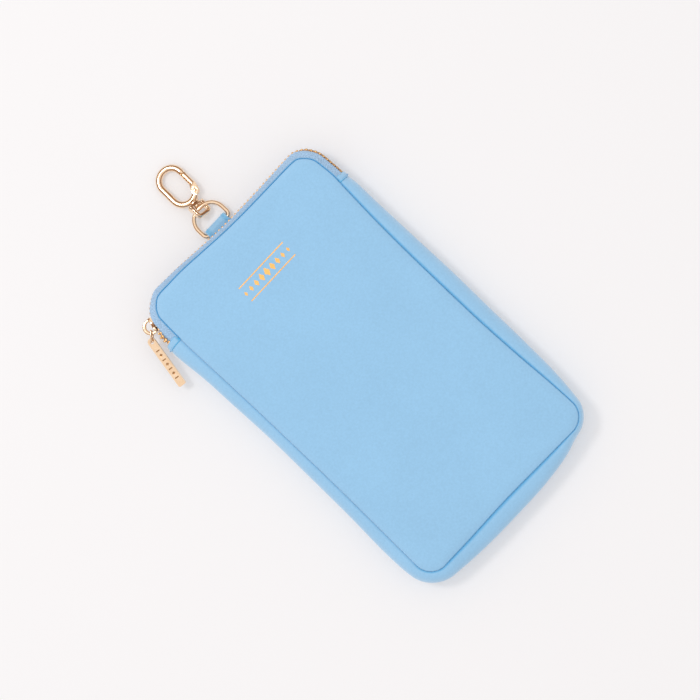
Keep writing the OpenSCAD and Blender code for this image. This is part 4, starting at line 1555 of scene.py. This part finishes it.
@dataclass
class Zip:
    """The zip: two woven tapes and two rows of metal teeth."""

    sizes: Sizes
    slump: Slump
    finishes: Finishes
    rows: RowTree
    pouch: Pouch
    teeth: int = 69

    def chain_path(self, start: float, count: int) -> Points:
        """The chain's middle line from a length, for a number of teeth.

        Args:
            start: Length of the first tooth from the chain's foot on the left.
            count: Number of teeth.

        Returns:
            A dense path in millimetres whose length is the teeth's run before the cloth slumps.
        """
        s = self.sizes
        r, side, corner_y = s.chain_radius, s.chain_side, s.corner_y
        turn_x = s.half_width - s.top_radius
        bend, top = r * math.pi / 2, s.width - 2 * s.top_radius
        along = np.linspace(start, start + (count - 1) * s.tooth_pitch, count * 4)
        made = []
        for n in along:
            if n < side:
                made.append((-s.half_width - s.chain_out, corner_y - side + n))
            elif n < side + bend:
                a = math.pi - (n - side) / r
                made.append((-turn_x + r * math.cos(a), corner_y + r * math.sin(a)))
            elif n < side + bend + top:
                made.append((-turn_x + n - side - bend, s.half_height + s.chain_out))
            elif n < side + 2 * bend + top:
                a = math.pi / 2 - (n - side - bend - top) / r
                made.append((turn_x + r * math.cos(a), corner_y + r * math.sin(a)))
            else:
                made.append((s.half_width + s.chain_out, corner_y - (n - side - 2 * bend - top)))
        made = np.array(made)
        made[:, 0] -= s.flare(along)
        return np.column_stack([made, np.full(len(made), s.middle)])

    def tooth(self, side: Side) -> tuple[Points, Faces]:
        """One metal tooth that grips the tape's edge.

        Args:
            side: Which row it belongs to.

        Returns:
            Vertices and faces, with Y along the chain.
        """
        s = self.sizes
        t, reach, tall = s.tooth_thickness / 2, s.tooth_reach, s.tooth_length - s.tooth_reach
        slot, grip = 0.36, tall - s.tape_grip - 0.1
        right = [
            (slot, tall), (t - 0.25, tall), (t, tall - 0.3), (t, 0.25), (t - 0.18, -0.1),
            (t - 0.3, -reach + 0.15), (t - 0.5, -reach),
        ]
        outline = right + [(-x, z) for x, z in reversed(right)] + [(-slot, grip), (slot, grip)]

        def rounded(x: float, z: float, inset: float) -> tuple[float, float]:
            """Draws a corner of the outline in.

            Args:
                x: Its place across the chain.
                z: Its height.
                inset: How far it is drawn in.

            Returns:
                The new place and height.
            """
            x_in = inset if abs(x) > slot + 0.01 else 0.0
            z_in = inset if z > grip + 0.2 else -inset if z < 0 else 0.0
            return x - math.copysign(x_in, x), z - z_in

        rows = []
        for y, inset in ((-0.5, 0.12), (-0.38, 0.0), (0.38, 0.0), (0.5, 0.12)):
            corners = [rounded(x, z, inset) for x, z in outline]
            rows.append([(x, y * s.tooth_width, z * side.value) for x, z in corners])
        return sweep(np.array(rows))

    def tape_section(self, side: Side) -> Callable[[int, float], Points]:
        """Makes the cross-section of a tape, which stands off where the slider has parted the rows.

        Args:
            side: Which tape it is.

        Returns:
            The section, from a station's number and its length from the left foot.
        """
        s = self.sizes

        def section(i: int, length: float) -> Points:
            """Draws the closed outline at a length from the left foot.

            Args:
                i: The station's number, which changes nothing here.
                length: The length along the seam.

            Returns:
                Rows of distance outwards and height.
            """
            foot = s.tooth_length - s.tooth_reach - s.tape_grip + s.parting(length)
            out, wide = s.chain_out, s.chain_out + 0.5 * float(s.flare(length))
            high, seam = s.tape_upright, s.seam_height - s.middle
            centre = [
                (wide, foot), (wide, foot + 0.5), (out, high - 1.2), (out - 0.02, high - 0.5),
                (out - 0.28, high - 0.05), (out - 0.75, high + 0.28),
            ]
            fall = seam - high - 0.42
            centre += [
                (out - k, high + 0.28 + (k - 0.75) * fall / (out - 0.75)) for k in (1.4, 2.1, 2.8, 3.4)
            ]
            centre += [(0.42, seam - 0.16), (0.16, seam - 0.42), (0.0, seam - 0.8)]
            line = np.array(centre)
            step = np.gradient(line, axis=0)
            step /= np.linalg.norm(step, axis=1)[:, None]
            normal = np.column_stack([step[:, 1], -step[:, 0]]) * s.tape / 2
            cut = np.vstack([line + normal, (line - normal)[::-1]])
            cut[:, 1] = s.middle + side.value * cut[:, 1]
            return cut

        return section

    def build(self) -> None:
        """Builds both tapes and both rows of teeth."""
        s, f = self.sizes, self.finishes
        strip = Strip(self.slump)
        run = Perimeter(s, 7, 90, 104).run(s.fold_y + s.tape_gap, True)

        def marks(i: int, cut: Points, length: float) -> Points:
            """Painted shade where the tape goes under the panel's edge."""
            return np.clip(1 - (cut[:, 0] - 0.15) / 0.4, 0, 1)

        for side, label, share in ((Side.FRONT, "front", 0.25), (Side.BACK, "back", 0.75)):
            bends = side is Side.FRONT
            tape = strip.piece(f"zip_tape_{label}_cloth", run, self.tape_section(side), f.tape, marks)
            self.pouch.keep(tape, (f"zip_tape_{label}",), "zip_tape", bends)
            start = share * s.tooth_pitch
            path = self.slump.move(self.chain_path(start, self.teeth))
            teeth = self.rows.row(
                f"zip_teeth_{label}_row", path, self.tooth(side), self.teeth, f.teeth,
                s.meshed_from - start, s.parting_run, s.row_part * side.value,
            )
            self.pouch.keep(teeth, (f"zip_teeth_{label}",), "zip_teeth", bends)


def gold_piece(
    name: str, part: tuple[Points, Faces], finish: Metal, body: Body, node: str, width: float = 0.0,
    sharp: float = 40.0, dark: Points | None = None,
) -> None:
    """Finishes one gold piece and sets it on its body in place of its node.

    Args:
        name: The piece's name.
        part: Its vertices and faces.
        finish: The gold.
        body: The body that it rides on.
        node: The node of the frame that it stands for.
        width: Width of the rounding of its edges, or 0 for none.
        sharp: Angle in degrees past which an edge stays hard.
        dark: How much painted recess shade each vertex takes.
    """
    piece = mesh_piece(name, part[0], part[1], finish, seam=dark, sharp=sharp)
    if width:
        softened(piece, width)
    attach(piece, body.value)
    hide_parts(node)
    LOG.info("%s: %d faces", name, len(piece.data.polygons))


@dataclass
class Puller:
    """The slider with its bail, the link and the bar, in millimetres and degrees."""

    sizes: Sizes
    finishes: Finishes
    length: float = 8.0
    width: float = 9.8
    plate: float = 1.15
    channel: float = 3.3
    bail_radius: float = 4.0
    bail_rise: float = 0.8
    bail_thickness: float = 1.3
    bail_width: float = 2.4
    link_wire: float = 1.0
    link_lean: float = 56.0
    bar_gap: float = 1.5
    bar_lean: float = 33.0
    bar_length: float = 28.0
    bar_width: float = 4.2
    bar_thickness: float = 1.2
    bar_eye: float = 1.1
    bar_roll: tuple[float, float] = (6, 12)
    mark_start: float = 5.2
    mark_pitch: float = 2.65
    mark_count: int = 7
    mark_depth: float = 0.3
    sharp: float = 38.0

    @property
    def slider_half(self) -> float:
        """Half the slider's depth."""
        return self.channel / 2 + self.plate

    @property
    def at_slider(self) -> Matrix:
        """The slider's own frame, with X outwards from the chain and Y along it.

        Returns:
            The frame's matrix.
        """
        s = self.sizes
        corner = moved(s.top_radius - s.half_width, s.corner_y, s.middle) @ turned("Z", -s.slider_turn)
        return corner @ moved(s.slider_inset - s.chain_radius, 0, 0) @ turned("Z", 180)

    @property
    def at_link(self) -> Matrix:
        """The link's own frame."""
        return self.at_slider @ moved(self.slider_half + self.bail_rise, 0, 0) @ turned("Z", self.link_lean)

    @property
    def link_far(self) -> float:
        """Distance of the bar's eye from the middle of the bail's arch."""
        return self.bail_radius + self.bar_width / 2 + self.bar_gap

    def outline(self) -> Points:
        """Draws the slider's plates in Y and Z: narrow at the meshed end, wide at the shoulders.

        Returns:
            The closed outline.
        """
        tail, narrow, wide = self.length / 2, 3.35, self.width / 2
        knots = np.array([
            (-tail, 0), (-tail, narrow - 1.3), (-tail + 0.35, narrow - 0.45), (-tail + 1.3, narrow),
            (-tail / 4, narrow + 0.1), (tail * 0.05, narrow + 0.45), (tail * 0.34, wide - 0.15),
            (tail * 0.5, wide), (tail - 1.3, wide), (tail - 0.35, wide - 0.45), (tail, wide - 1.4),
            (tail - 0.35, 1.2), (tail - 0.7, 0),
        ])
        return np.vstack([knots, knots[1:-1][::-1] * [1, -1]])

    def plates(self) -> None:
        """Builds the slider's two plates with their rails and the wedge between them."""
        upright = Matrix(((0, 0, 1, 0), (1, 0, 0, 0), (0, 1, 0, 0), (0, 0, 0, 1)))
        half, inner, tail, wide = self.slider_half, self.channel / 2, self.length / 2, self.width / 2
        slit = 0.8
        rail = np.array([
            (-tail + 0.5, 2.75), (-0.6, 2.95), (0.4, 3.4), (1.2, wide - 0.55),
            (1.2, wide - 0.1), (0.2, wide - 0.9), (-0.8, 3.3), (-tail + 0.5, 3.25),
        ])
        wedge = np.array([(1.36, 0), (2.6, -0.6), (3.3, 0), (2.6, 0.6)])
        parts = [slab(self.outline(), inner, half), slab(self.outline(), -half, -inner)]
        for sign in (-1, 1):
            for low, high in ((slit, inner), (-inner, -slit)):
                parts.append(slab(rail * [1, sign], low, high))
        parts.append(slab(wedge, -inner, inner))
        plates = placed(joined([placed(part, upright) for part in parts]), self.at_slider)
        gold_piece("slider_plates", plates, self.finishes.gold, Body.SLIDER, "slider_body", 0.22, self.sharp)

    def bail(self) -> None:
        """Builds the bail: two short legs and an arch, of a squared section that swells at the top."""
        swell, square, bury = 0.6, 0.6, 0.02
        legs = np.linspace(0, self.bail_rise, 4)[:-1]
        stations = [(x, -90.0) for x in legs]
        stations += [(self.bail_rise, a) for a in np.linspace(-90, 90, 33)]
        stations += [(x, 90.0) for x in legs[::-1]]
        rows = []
        for x, angle in stations:
            t = math.radians(angle)
            thick = self.bail_thickness + swell * math.cos(t)
            ring = []
            for c in np.radians(np.linspace(0, 360, 20, endpoint=False)):
                bulge = math.copysign(abs(math.cos(c)) ** square, math.cos(c)) * thick / 2
                side = math.copysign(abs(math.sin(c)) ** square, math.sin(c)) * self.bail_width / 2
                r = self.bail_radius + swell * math.cos(t) - thick / 2 + bulge
                ring.append((self.slider_half - bury + x + r * math.cos(t), r * math.sin(t), side))
            rows.append(ring)
        arch = placed(sweep(np.array(rows)), self.at_slider)
        gold_piece("slider_loop", arch, self.finishes.gold, Body.SLIDER, "slider_bail", sharp=self.sharp)

    def link(self) -> None:
        """Builds the link: a wire loop with small corners."""
        near, far = self.bail_radius - self.bail_thickness - self.link_wire / 2 - 0.1, self.link_far
        side = self.bail_width / 2 + 0.3 + self.link_wire / 2
        r = 0.45
        line = np.vstack([
            arc((far - r, side - r), r, 90, 0, 7), arc((far - r, -side + r), r, 0, -90, 7),
            arc((near + r, -side + r), r, -90, -180, 7), arc((near + r, side - r), r, 180, 90, 7),
        ])
        path = np.column_stack([line[:, 0], 0 * line[:, 0], line[:, 1]])
        wire = placed(tube(path, self.link_wire / 2, 20, True, (0, 1, 0)), self.at_link)
        gold_piece("pull_link_wire", wire, self.finishes.gold, Body.LINK, "pull_link", sharp=self.sharp)

    def bar(self) -> None:
        """Builds the bar with its eye and a row of plain recesses."""
        r, end = self.bar_width / 2, self.bar_width / 5
        far = self.bar_length - r
        outline = np.vstack([
            arc((0, 0), r, 270, 90, 24),
            arc((far - end, r - end), end, 90, 0, 6), arc((far - end, end - r), end, 0, -90, 6),
        ])
        lozenge = np.array([(-0.85, 0), (0, -1.0), (0.85, 0), (0, 1.0)])
        stroke = np.array([(-0.32, -1.05), (0.32, -1.05), (0.32, 1.05), (-0.32, 1.05)])
        places = [self.mark_start + k * self.mark_pitch for k in range(self.mark_count)]
        pits = [(lozenge if k % 2 else stroke) + [x, 0] for k, x in enumerate(places)]
        high = self.bar_thickness / 2
        part = slab(outline, -high, high, [arc((0, 0), self.bar_eye, 0, 345, 24)], pits, self.mark_depth)
        # Painted shade: the floors of the recesses take the dark recess colour.
        dark = (np.abs(part[0][:, 2] - high + self.mark_depth) < 0.01).astype(float)
        hung = self.at_link @ moved(self.link_far, 0, 0) @ turned("Z", self.bar_lean)
        where = hung @ turned("Y", self.bar_roll[0]) @ turned("X", self.bar_roll[1])
        gold_piece(
            "pull_bar_plate", placed(part, where), self.finishes.gold, Body.BAR, "pull_bar",
            0.34, self.sharp, dark,
        )

    def build(self) -> None:
        """Builds the four pieces."""
        self.plates()
        self.bail()
        self.link()
        self.bar()


@dataclass
class Hook:
    """The ring, the swivel's eye and pin, and the oval clip with its gate, in millimetres and degrees."""

    finishes: Finishes
    loop_x: float = -2.9
    ring_y: float = 100.87
    ring_z: float = 2.1
    ring_tilt: float = 9.5
    ring_wire: float = 2.2
    ring_radius: float = 7.5
    ring_height: float = 12.8
    ring_flat: float = 1.8
    ring_corner: float = 2.25
    hang_y: float = 113.494
    hang_z: float = 4.21261
    clip_lean: float = 5.32204
    wire: float = 3.5
    clip_radius: float = 6.35
    clip_start: float = 3.2
    clip_low: float = 3.7
    low_y: float = 11.8
    high_y: float = 20.2
    hinge_angle: float = 40.0
    tip_y: float = 18.7
    tip_slant: float = 30.0
    gate_wire: float = 3.2
    eye_wire: float = 1.9
    eye_radius: float = 3.6
    eye_middle: float = -0.1
    eye_turn: float = 42.0
    plate_y: float = 2.0
    plate_thickness: float = 1.1
    plate_half: float = 1.6
    knuckle: float = 1.95
    nose_share: float = 0.74

    @property
    def at_clip(self) -> Matrix:
        """The clip's own frame."""
        return moved(self.loop_x, self.hang_y, self.hang_z) @ turned("X", -self.clip_lean)

    @property
    def hinge(self) -> tuple[float, float]:
        """The gate's hinge in the clip's frame."""
        a = math.radians(self.hinge_angle)
        return self.clip_radius * math.cos(a), self.low_y - self.clip_radius * math.sin(a)

    def slanted(self, rim: Points, y: float) -> None:
        """Slants the end ring of a wire at the gate's joint, and tapers it.

        Args:
            rim: The ring's points, which are moved in place.
            y: Height of the joint on the wire's centre line.
        """
        r = self.clip_radius
        rim[:, 1] = y - (rim[:, 0] - r) * math.tan(math.radians(self.tip_slant))
        rim[:, [0, 2]] = [r, 0] + (rim[:, [0, 2]] - [r, 0]) * self.nose_share

    def ring(self) -> None:
        """Builds the D-shaped ring."""
        r, c = self.ring_radius, self.ring_corner
        half = self.ring_flat / 2 + r - c
        top = self.ring_height - r
        path = np.vstack([
            arc((self.ring_flat / 2, top), r, 0, 90, 22), arc((-self.ring_flat / 2, top), r, 90, 180, 22),
            arc((-half, c), c, 180, 270, 12), arc((half, c), c, 270, 360, 12),
        ])
        where = moved(self.loop_x, self.ring_y, self.ring_z) @ turned("X", self.ring_tilt)
        wire = placed(tube(path, self.ring_wire / 2, 28, True), where)
        gold_piece("ring_wire", wire, self.finishes.gold, Body.RING, "d_ring")

    def eye(self) -> None:
        """Builds the swivel's eye: a square-edged bow of wire on a flat plate, with two cheeks."""
        r, e, c = self.eye_radius, self.eye_wire / 2, 1.6
        foot = self.eye_middle - r
        top = self.plate_y + 0.5
        path = np.vstack([
            [(-r, y, 0) for y in np.linspace(top, foot + c, 6)[:-1]],
            arc((c - r, foot + c), c, 180, 270, 9), arc((r - c, foot + c), c, 270, 360, 9),
            [(r, y, 0) for y in np.linspace(foot + c, top, 6)[1:]],
        ])
        bow = tube(path, e, 28, square=0.5, tall=1.45)
        rim = r + e + 0.25
        bound = math.degrees(math.asin(self.plate_half / rim))
        outline = np.vstack([
            arc((0, 0), rim, -bound, bound, 9), arc((0, 0), rim, 180 - bound, 180 + bound, 9),
        ])
        hole = arc((0, 0), 1.15, 0, 345, 24)
        upright = moved(0, self.plate_y, 0) @ turned("X", 90)
        plate = placed(slab(outline, -self.plate_thickness, 0.0, [hole]), upright)
        cheek = np.array([(-0.95, -1.3), (0.95, -1.3), (0.95, 1.05), (-0.95, 1.05)])
        cheeks = [placed(slab(cheek, -1.55, 1.55), moved(side * r, self.plate_y, 0)) for side in (-1, 1)]
        swivel = placed(joined([bow, plate, *cheeks]), self.at_clip @ turned("Y", self.eye_turn))
        gold_piece("swivel_bow", swivel, self.finishes.gold, Body.EYE, "swivel_eye", 0.2)

    def frame(self) -> None:
        """Builds the oval frame with its boss, hinge tongue and slanted nose."""
        r, w, sides = self.clip_radius, self.wire / 2, 32
        a, low_y = self.hinge_angle, self.low_y
        stop = 360 - a - math.degrees((self.knuckle + 0.25) / r)
        path = np.vstack([
            [(r, y, 0) for y in (self.tip_y + 0.1, self.tip_y + 1.0, self.tip_y + 1.2)],
            arc((0, self.high_y), r, 0, 180, 40),
            [(-r, y, 0) for y in np.linspace(self.high_y, low_y, 8)[1:-1]],
            arc((0, low_y), r, 180, stop, 34),
        ])
        oval = tube(path, w, sides)
        self.slanted(oval[0][:sides], self.tip_y)
        end_x, end_y = r * math.cos(math.radians(stop)), low_y + r * math.sin(math.radians(stop))
        round_end = arc(self.hinge, w + 0.1, -a - 60, 120 - a, 18)[:, :2]
        meet = [(end_x - 0.2, end_y + 0.9), (end_x - 0.6, end_y - 0.7)]
        tongue = slab(np.vstack([round_end, meet]), -0.65, 0.65)
        low, top = self.clip_start, self.clip_low
        boss = lathe([
            (low, 1.6), (low, 2.5), (low + 0.15, 2.7), (top + 0.1, 2.7), (top + 0.25, 2.5), (top + 0.6, 2.15),
            (top + 1.6, 1.9),
        ])
        clip = placed(joined([oval, tongue, boss]), self.at_clip)
        gold_piece("clip_oval", clip, self.finishes.gold, Body.CLIP, "clip_frame", sharp=45.0)

    def cheek(self, start: float, low: float, high: float) -> tuple[Points, Faces]:
        """Builds one cheek of the gate, with a round pit for the rivet.

        Args:
            start: Angle at which the gate's rod begins, in degrees.
            low: Height of its lower face.
            high: Height of its upper face.

        Returns:
            Vertices and faces.
        """
        reach = self.gate_wire / 2 - 0.2
        spots = [tuple(v) for v in arc(self.hinge, self.knuckle - 0.15, 0, 350, 36)[:, :2]]
        for b in np.radians(np.linspace(start, start + 16, 5)):
            for r in (self.clip_radius - reach, self.clip_radius + reach):
                spots.append((r * math.cos(b), self.low_y + r * math.sin(b)))
        hull = np.array([spots[k] for k in convex_hull_2d(spots)])
        return slab(hull, low, high, pits=[arc(self.hinge, 1.1, 0, 345, 24)], pit_depth=0.35)

    def gate(self) -> None:
        """Builds the gate with its two cheeks, slanted tip and a latch painted dark as shade in the joint,
        and its rivet.
        """
        r, w, sides = self.clip_radius, self.gate_wire / 2, 32
        start = -self.hinge_angle + math.degrees((self.knuckle + 0.15) / r)
        path = np.vstack([
            arc((0, self.low_y), r, start, 0, 12),
            [(r, y, 0) for y in np.linspace(self.low_y, self.tip_y - 1.2, 7)[1:]],
            [(r, y, 0) for y in (self.tip_y - 1.0, self.tip_y - 0.2)],
        ])
        rod = tube(path, w, sides)
        self.slanted(rod[0][-sides:], self.tip_y - 0.5)
        cheeks = [self.cheek(start, low, high) for low, high in ((0.75, w + 0.15), (-w - 0.15, -0.75))]
        block = np.array([(r - 1.3, -0.2), (r + 1.3, -0.2), (r + 1.3, 0.75), (r - 1.3, 0.75)])
        latch = slab(block, -1.15, 1.15)
        lean = (latch[0][:, 0] - r) * math.tan(math.radians(self.tip_slant))
        latch[0][:, 1] += self.tip_y - 0.35 - lean - 0.4
        body = joined([rod, *cheeks])
        # Painted shade: the latch is coloured dark to stand for the shaded gap at the gate's joint.
        dark = np.concatenate([np.zeros(len(body[0])), np.ones(len(latch[0]))])
        gate = placed(joined([body, latch]), self.at_clip)
        gold_piece("clip_gate_rod", gate, self.finishes.gold, Body.GATE, "clip_gate", 0.4, dark=dark)
        rivet = lathe([
            (-1.87, 0.3), (-1.87, 0.42), (-1.75, 0.5), (1.3, 0.5),
            (1.3, 0.78), (1.7, 0.78), (1.85, 0.6), (1.9, 0.3),
        ], 24)
        where = self.at_clip @ moved(*self.hinge, 0) @ turned("X", 90)
        gold_piece("gate_rivet", placed(rivet, where), self.finishes.gold, Body.CLIP, "gate_pin", sharp=30.0)

    def swivel(self) -> None:
        """Builds the swivel's pin with its domed head."""
        pin = lathe([
            (1.2, 0.25), (1.2, 1.3), (1.28, 1.62), (1.45, 1.82), (1.65, 1.9),
            (1.8, 1.9), (1.9, 1.8), (1.9, 1.1), (4.1, 1.1),
        ], 32)
        gold_piece("swivel_rivet", placed(pin, self.at_clip), self.finishes.gold, Body.CLIP, "swivel_pin")

    def build(self) -> None:
        """Builds every piece of the hook."""
        self.ring()
        self.eye()
        self.swivel()
        self.frame()
        self.gate()


@dataclass
class Studio:
    """Floor, light and camera.

    The camera's lengths are in millimetres, the floor's and the key lamp's in metres, and the leans in
    degrees. The glossy sky is pairs of height, from 0 straight below to 1 straight above, and colour.
    """

    aim: tuple[float, float, float] = (-0.676, 9.77, 16.2)
    lean_x: float = 5.0
    lean_y: float = 7.0
    picture_up: tuple[float, float, float] = (0.7228, 0.6911, 0.0)
    distance: float = 1200.0
    field_width: float = 336.7
    sensor: float = 36.0
    floor_half: float = 4.0
    floor_low: Colour = (0.925, 0.905, 0.908)
    floor_high: Colour = (0.940, 0.920, 0.923)
    floor_plain: Colour = (0.975, 0.950, 0.958)
    floor_even: float = 0.3
    right_on_floor: tuple[float, float] = (0.7009, -0.7133)
    up_on_floor: tuple[float, float] = (0.7133, 0.7009)
    key_right: float = -0.62
    key_up: float = 0.24
    key_height: float = 1.3
    key_size: float = 0.36
    key_power: float = 4.4
    key_colour: Colour = (1.0, 0.985, 0.97)
    diffuse_sky: float = 0.82
    glossy_sky: tuple[tuple[float, Colour], ...] = (
        (0.50, (0.50, 0.40, 0.32)), (0.56, (0.26, 0.13, 0.07)), (0.78, (0.34, 0.19, 0.11)),
        (0.88, (0.92, 0.80, 0.68)), (1.0, (1.0, 0.93, 0.86)),
    )

    def floor(self) -> None:
        """Lays a plain pale floor, partly evened out where the camera or a reflection sees it."""
        mesh, far = bpy.data.meshes.new("floor"), self.floor_half
        mesh.from_pydata([(-far, -far, 0), (far, -far, 0), (far, far, 0), (-far, far, 0)], [], [(0, 1, 2, 3)])
        made = bpy.data.objects.new("floor", mesh)
        bpy.context.scene.collection.objects.link(made)
        paper = bpy.data.materials.new("floor_paper")
        paper.use_nodes = True
        graph = Graph(paper.node_tree)
        shader = paper.node_tree.nodes["Principled BSDF"]
        place = graph.add("ShaderNodeTexCoord").outputs["Object"]
        noise = graph.add("ShaderNodeTexNoise", {"Vector": place, "Scale": 3.0, "Detail": 2.0})
        tone = graph.mix(noise.outputs[0], (*self.floor_low, 1), (*self.floor_high, 1))
        graph.tree.links.new(tone, shader.inputs["Base Color"])
        ray = graph.add("ShaderNodeLightPath")
        seen = graph.math("MAXIMUM", ray.outputs["Is Camera Ray"], ray.outputs["Is Glossy Ray"])
        even = graph.add("ShaderNodeEmission", {"Color": (*self.floor_plain, 1), "Strength": 1.0})
        blend = graph.add("ShaderNodeMixShader", {0: graph.math("MULTIPLY", seen, self.floor_even)})
        graph.tree.links.new(shader.outputs[0], blend.inputs[1])
        graph.tree.links.new(even.outputs[0], blend.inputs[2])
        graph.tree.links.new(blend.outputs[0], paper.node_tree.nodes["Material Output"].inputs[0])
        shader.inputs["Roughness"].default_value = 0.9
        shader.inputs["Specular IOR Level"].default_value = 0.1
        mesh.materials.append(paper)

    def light(self) -> None:
        """Sets the soft key lamp and the world, which is even for cloth and banded for metal."""
        side = self.key_right * np.array(self.right_on_floor) + self.key_up * np.array(self.up_on_floor)
        lamp = bpy.data.lights.new("key", "AREA")
        lamp.shape, lamp.size, lamp.energy = "DISK", self.key_size, self.key_power
        lamp.color = self.key_colour
        made = bpy.data.objects.new("key", lamp)
        spot = Vector((side[0], side[1], self.key_height))
        made.location = spot
        made.rotation_mode = "QUATERNION"
        made.rotation_quaternion = (-spot).to_track_quat("-Z", "Y")
        bpy.context.scene.collection.objects.link(made)
        world = bpy.data.worlds.new("studio")
        world.use_nodes = True
        bpy.context.scene.world = world
        graph = Graph(world.node_tree)
        back = world.node_tree.nodes["Background"]
        ray = graph.add("ShaderNodeLightPath")
        way = graph.add("ShaderNodeTexCoord").outputs["Generated"]
        height = graph.add("ShaderNodeSeparateXYZ", {0: way}).outputs[2]
        ramp = graph.add("ShaderNodeValToRGB", {0: graph.math("MULTIPLY_ADD", height, 0.5, 0.5)})
        stops = ramp.color_ramp.elements
        stops[0].position, stops[1].position = self.glossy_sky[0][0], self.glossy_sky[-1][0]
        for position, _ in self.glossy_sky[1:-1]:
            stops.new(position)
        for stop, (_, colour) in zip(stops, self.glossy_sky):
            stop.color = (*colour, 1)
        plain = (*[self.diffuse_sky] * 3, 1.0)
        lit = graph.mix(ray.outputs["Is Diffuse Ray"], ramp.outputs[0], plain)
        colour = graph.mix(ray.outputs["Is Camera Ray"], lit, (1.0, 1.0, 1.0, 1.0))
        graph.tree.links.new(colour, back.inputs[0])
        back.inputs[1].default_value = 1.0

    def camera(self) -> None:
        """Sets the camera at the photograph's angle."""
        data = bpy.data.cameras.new("camera")
        data.sensor_width = self.sensor
        data.lens = self.sensor * self.distance / self.field_width
        data.clip_start, data.clip_end = 0.05, 20.0
        made = bpy.data.objects.new("camera", data)
        lean_x, lean_y = math.tan(math.radians(self.lean_x)), -math.tan(math.radians(self.lean_y))
        back = Vector((lean_x, lean_y, 1.0)).normalized()
        up = Vector(self.picture_up)
        side = up.cross(back).normalized()
        top = back.cross(side)
        turn = Matrix((side, top, back)).transposed().to_4x4()
        made.matrix_world = Matrix.Translation((Vector(self.aim) + back * self.distance) * MM) @ turn
        bpy.context.scene.collection.objects.link(made)
        bpy.context.scene.camera = made

    def build(self) -> None:
        """Sets up the studio."""
        self.floor()
        self.light()
        self.camera()


def main() -> None:
    """Builds the dressed pouch over the frame."""
    logging.basicConfig(level=logging.INFO, format="%(name)s %(message)s")
    for thing in list(bpy.data.objects):
        bpy.data.objects.remove(thing)
    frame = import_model()
    for make in (weave_group, rib_group, mottle_group):
        make()
    bpy.context.scene.view_settings.view_transform = "Standard"
    Studio().build()
    sizes, slump, finishes, rows = Sizes(), Slump(), Finishes(), RowTree()
    pouch = Pouch(sizes, slump, finishes, rows)
    pouch.build()
    Zip(sizes, slump, finishes, rows, pouch).build()
    Puller(sizes, finishes).build()
    Hook(finishes).build()
    spring = frame["nodes"]["gate_spring"]
    spring.data.materials.clear()
    spring.data.materials.append(finishes.steel.material())
    LOG.info("%s: the frame's own mesh, with its finish", spring.name)


if __name__ == "__main__":
    main()
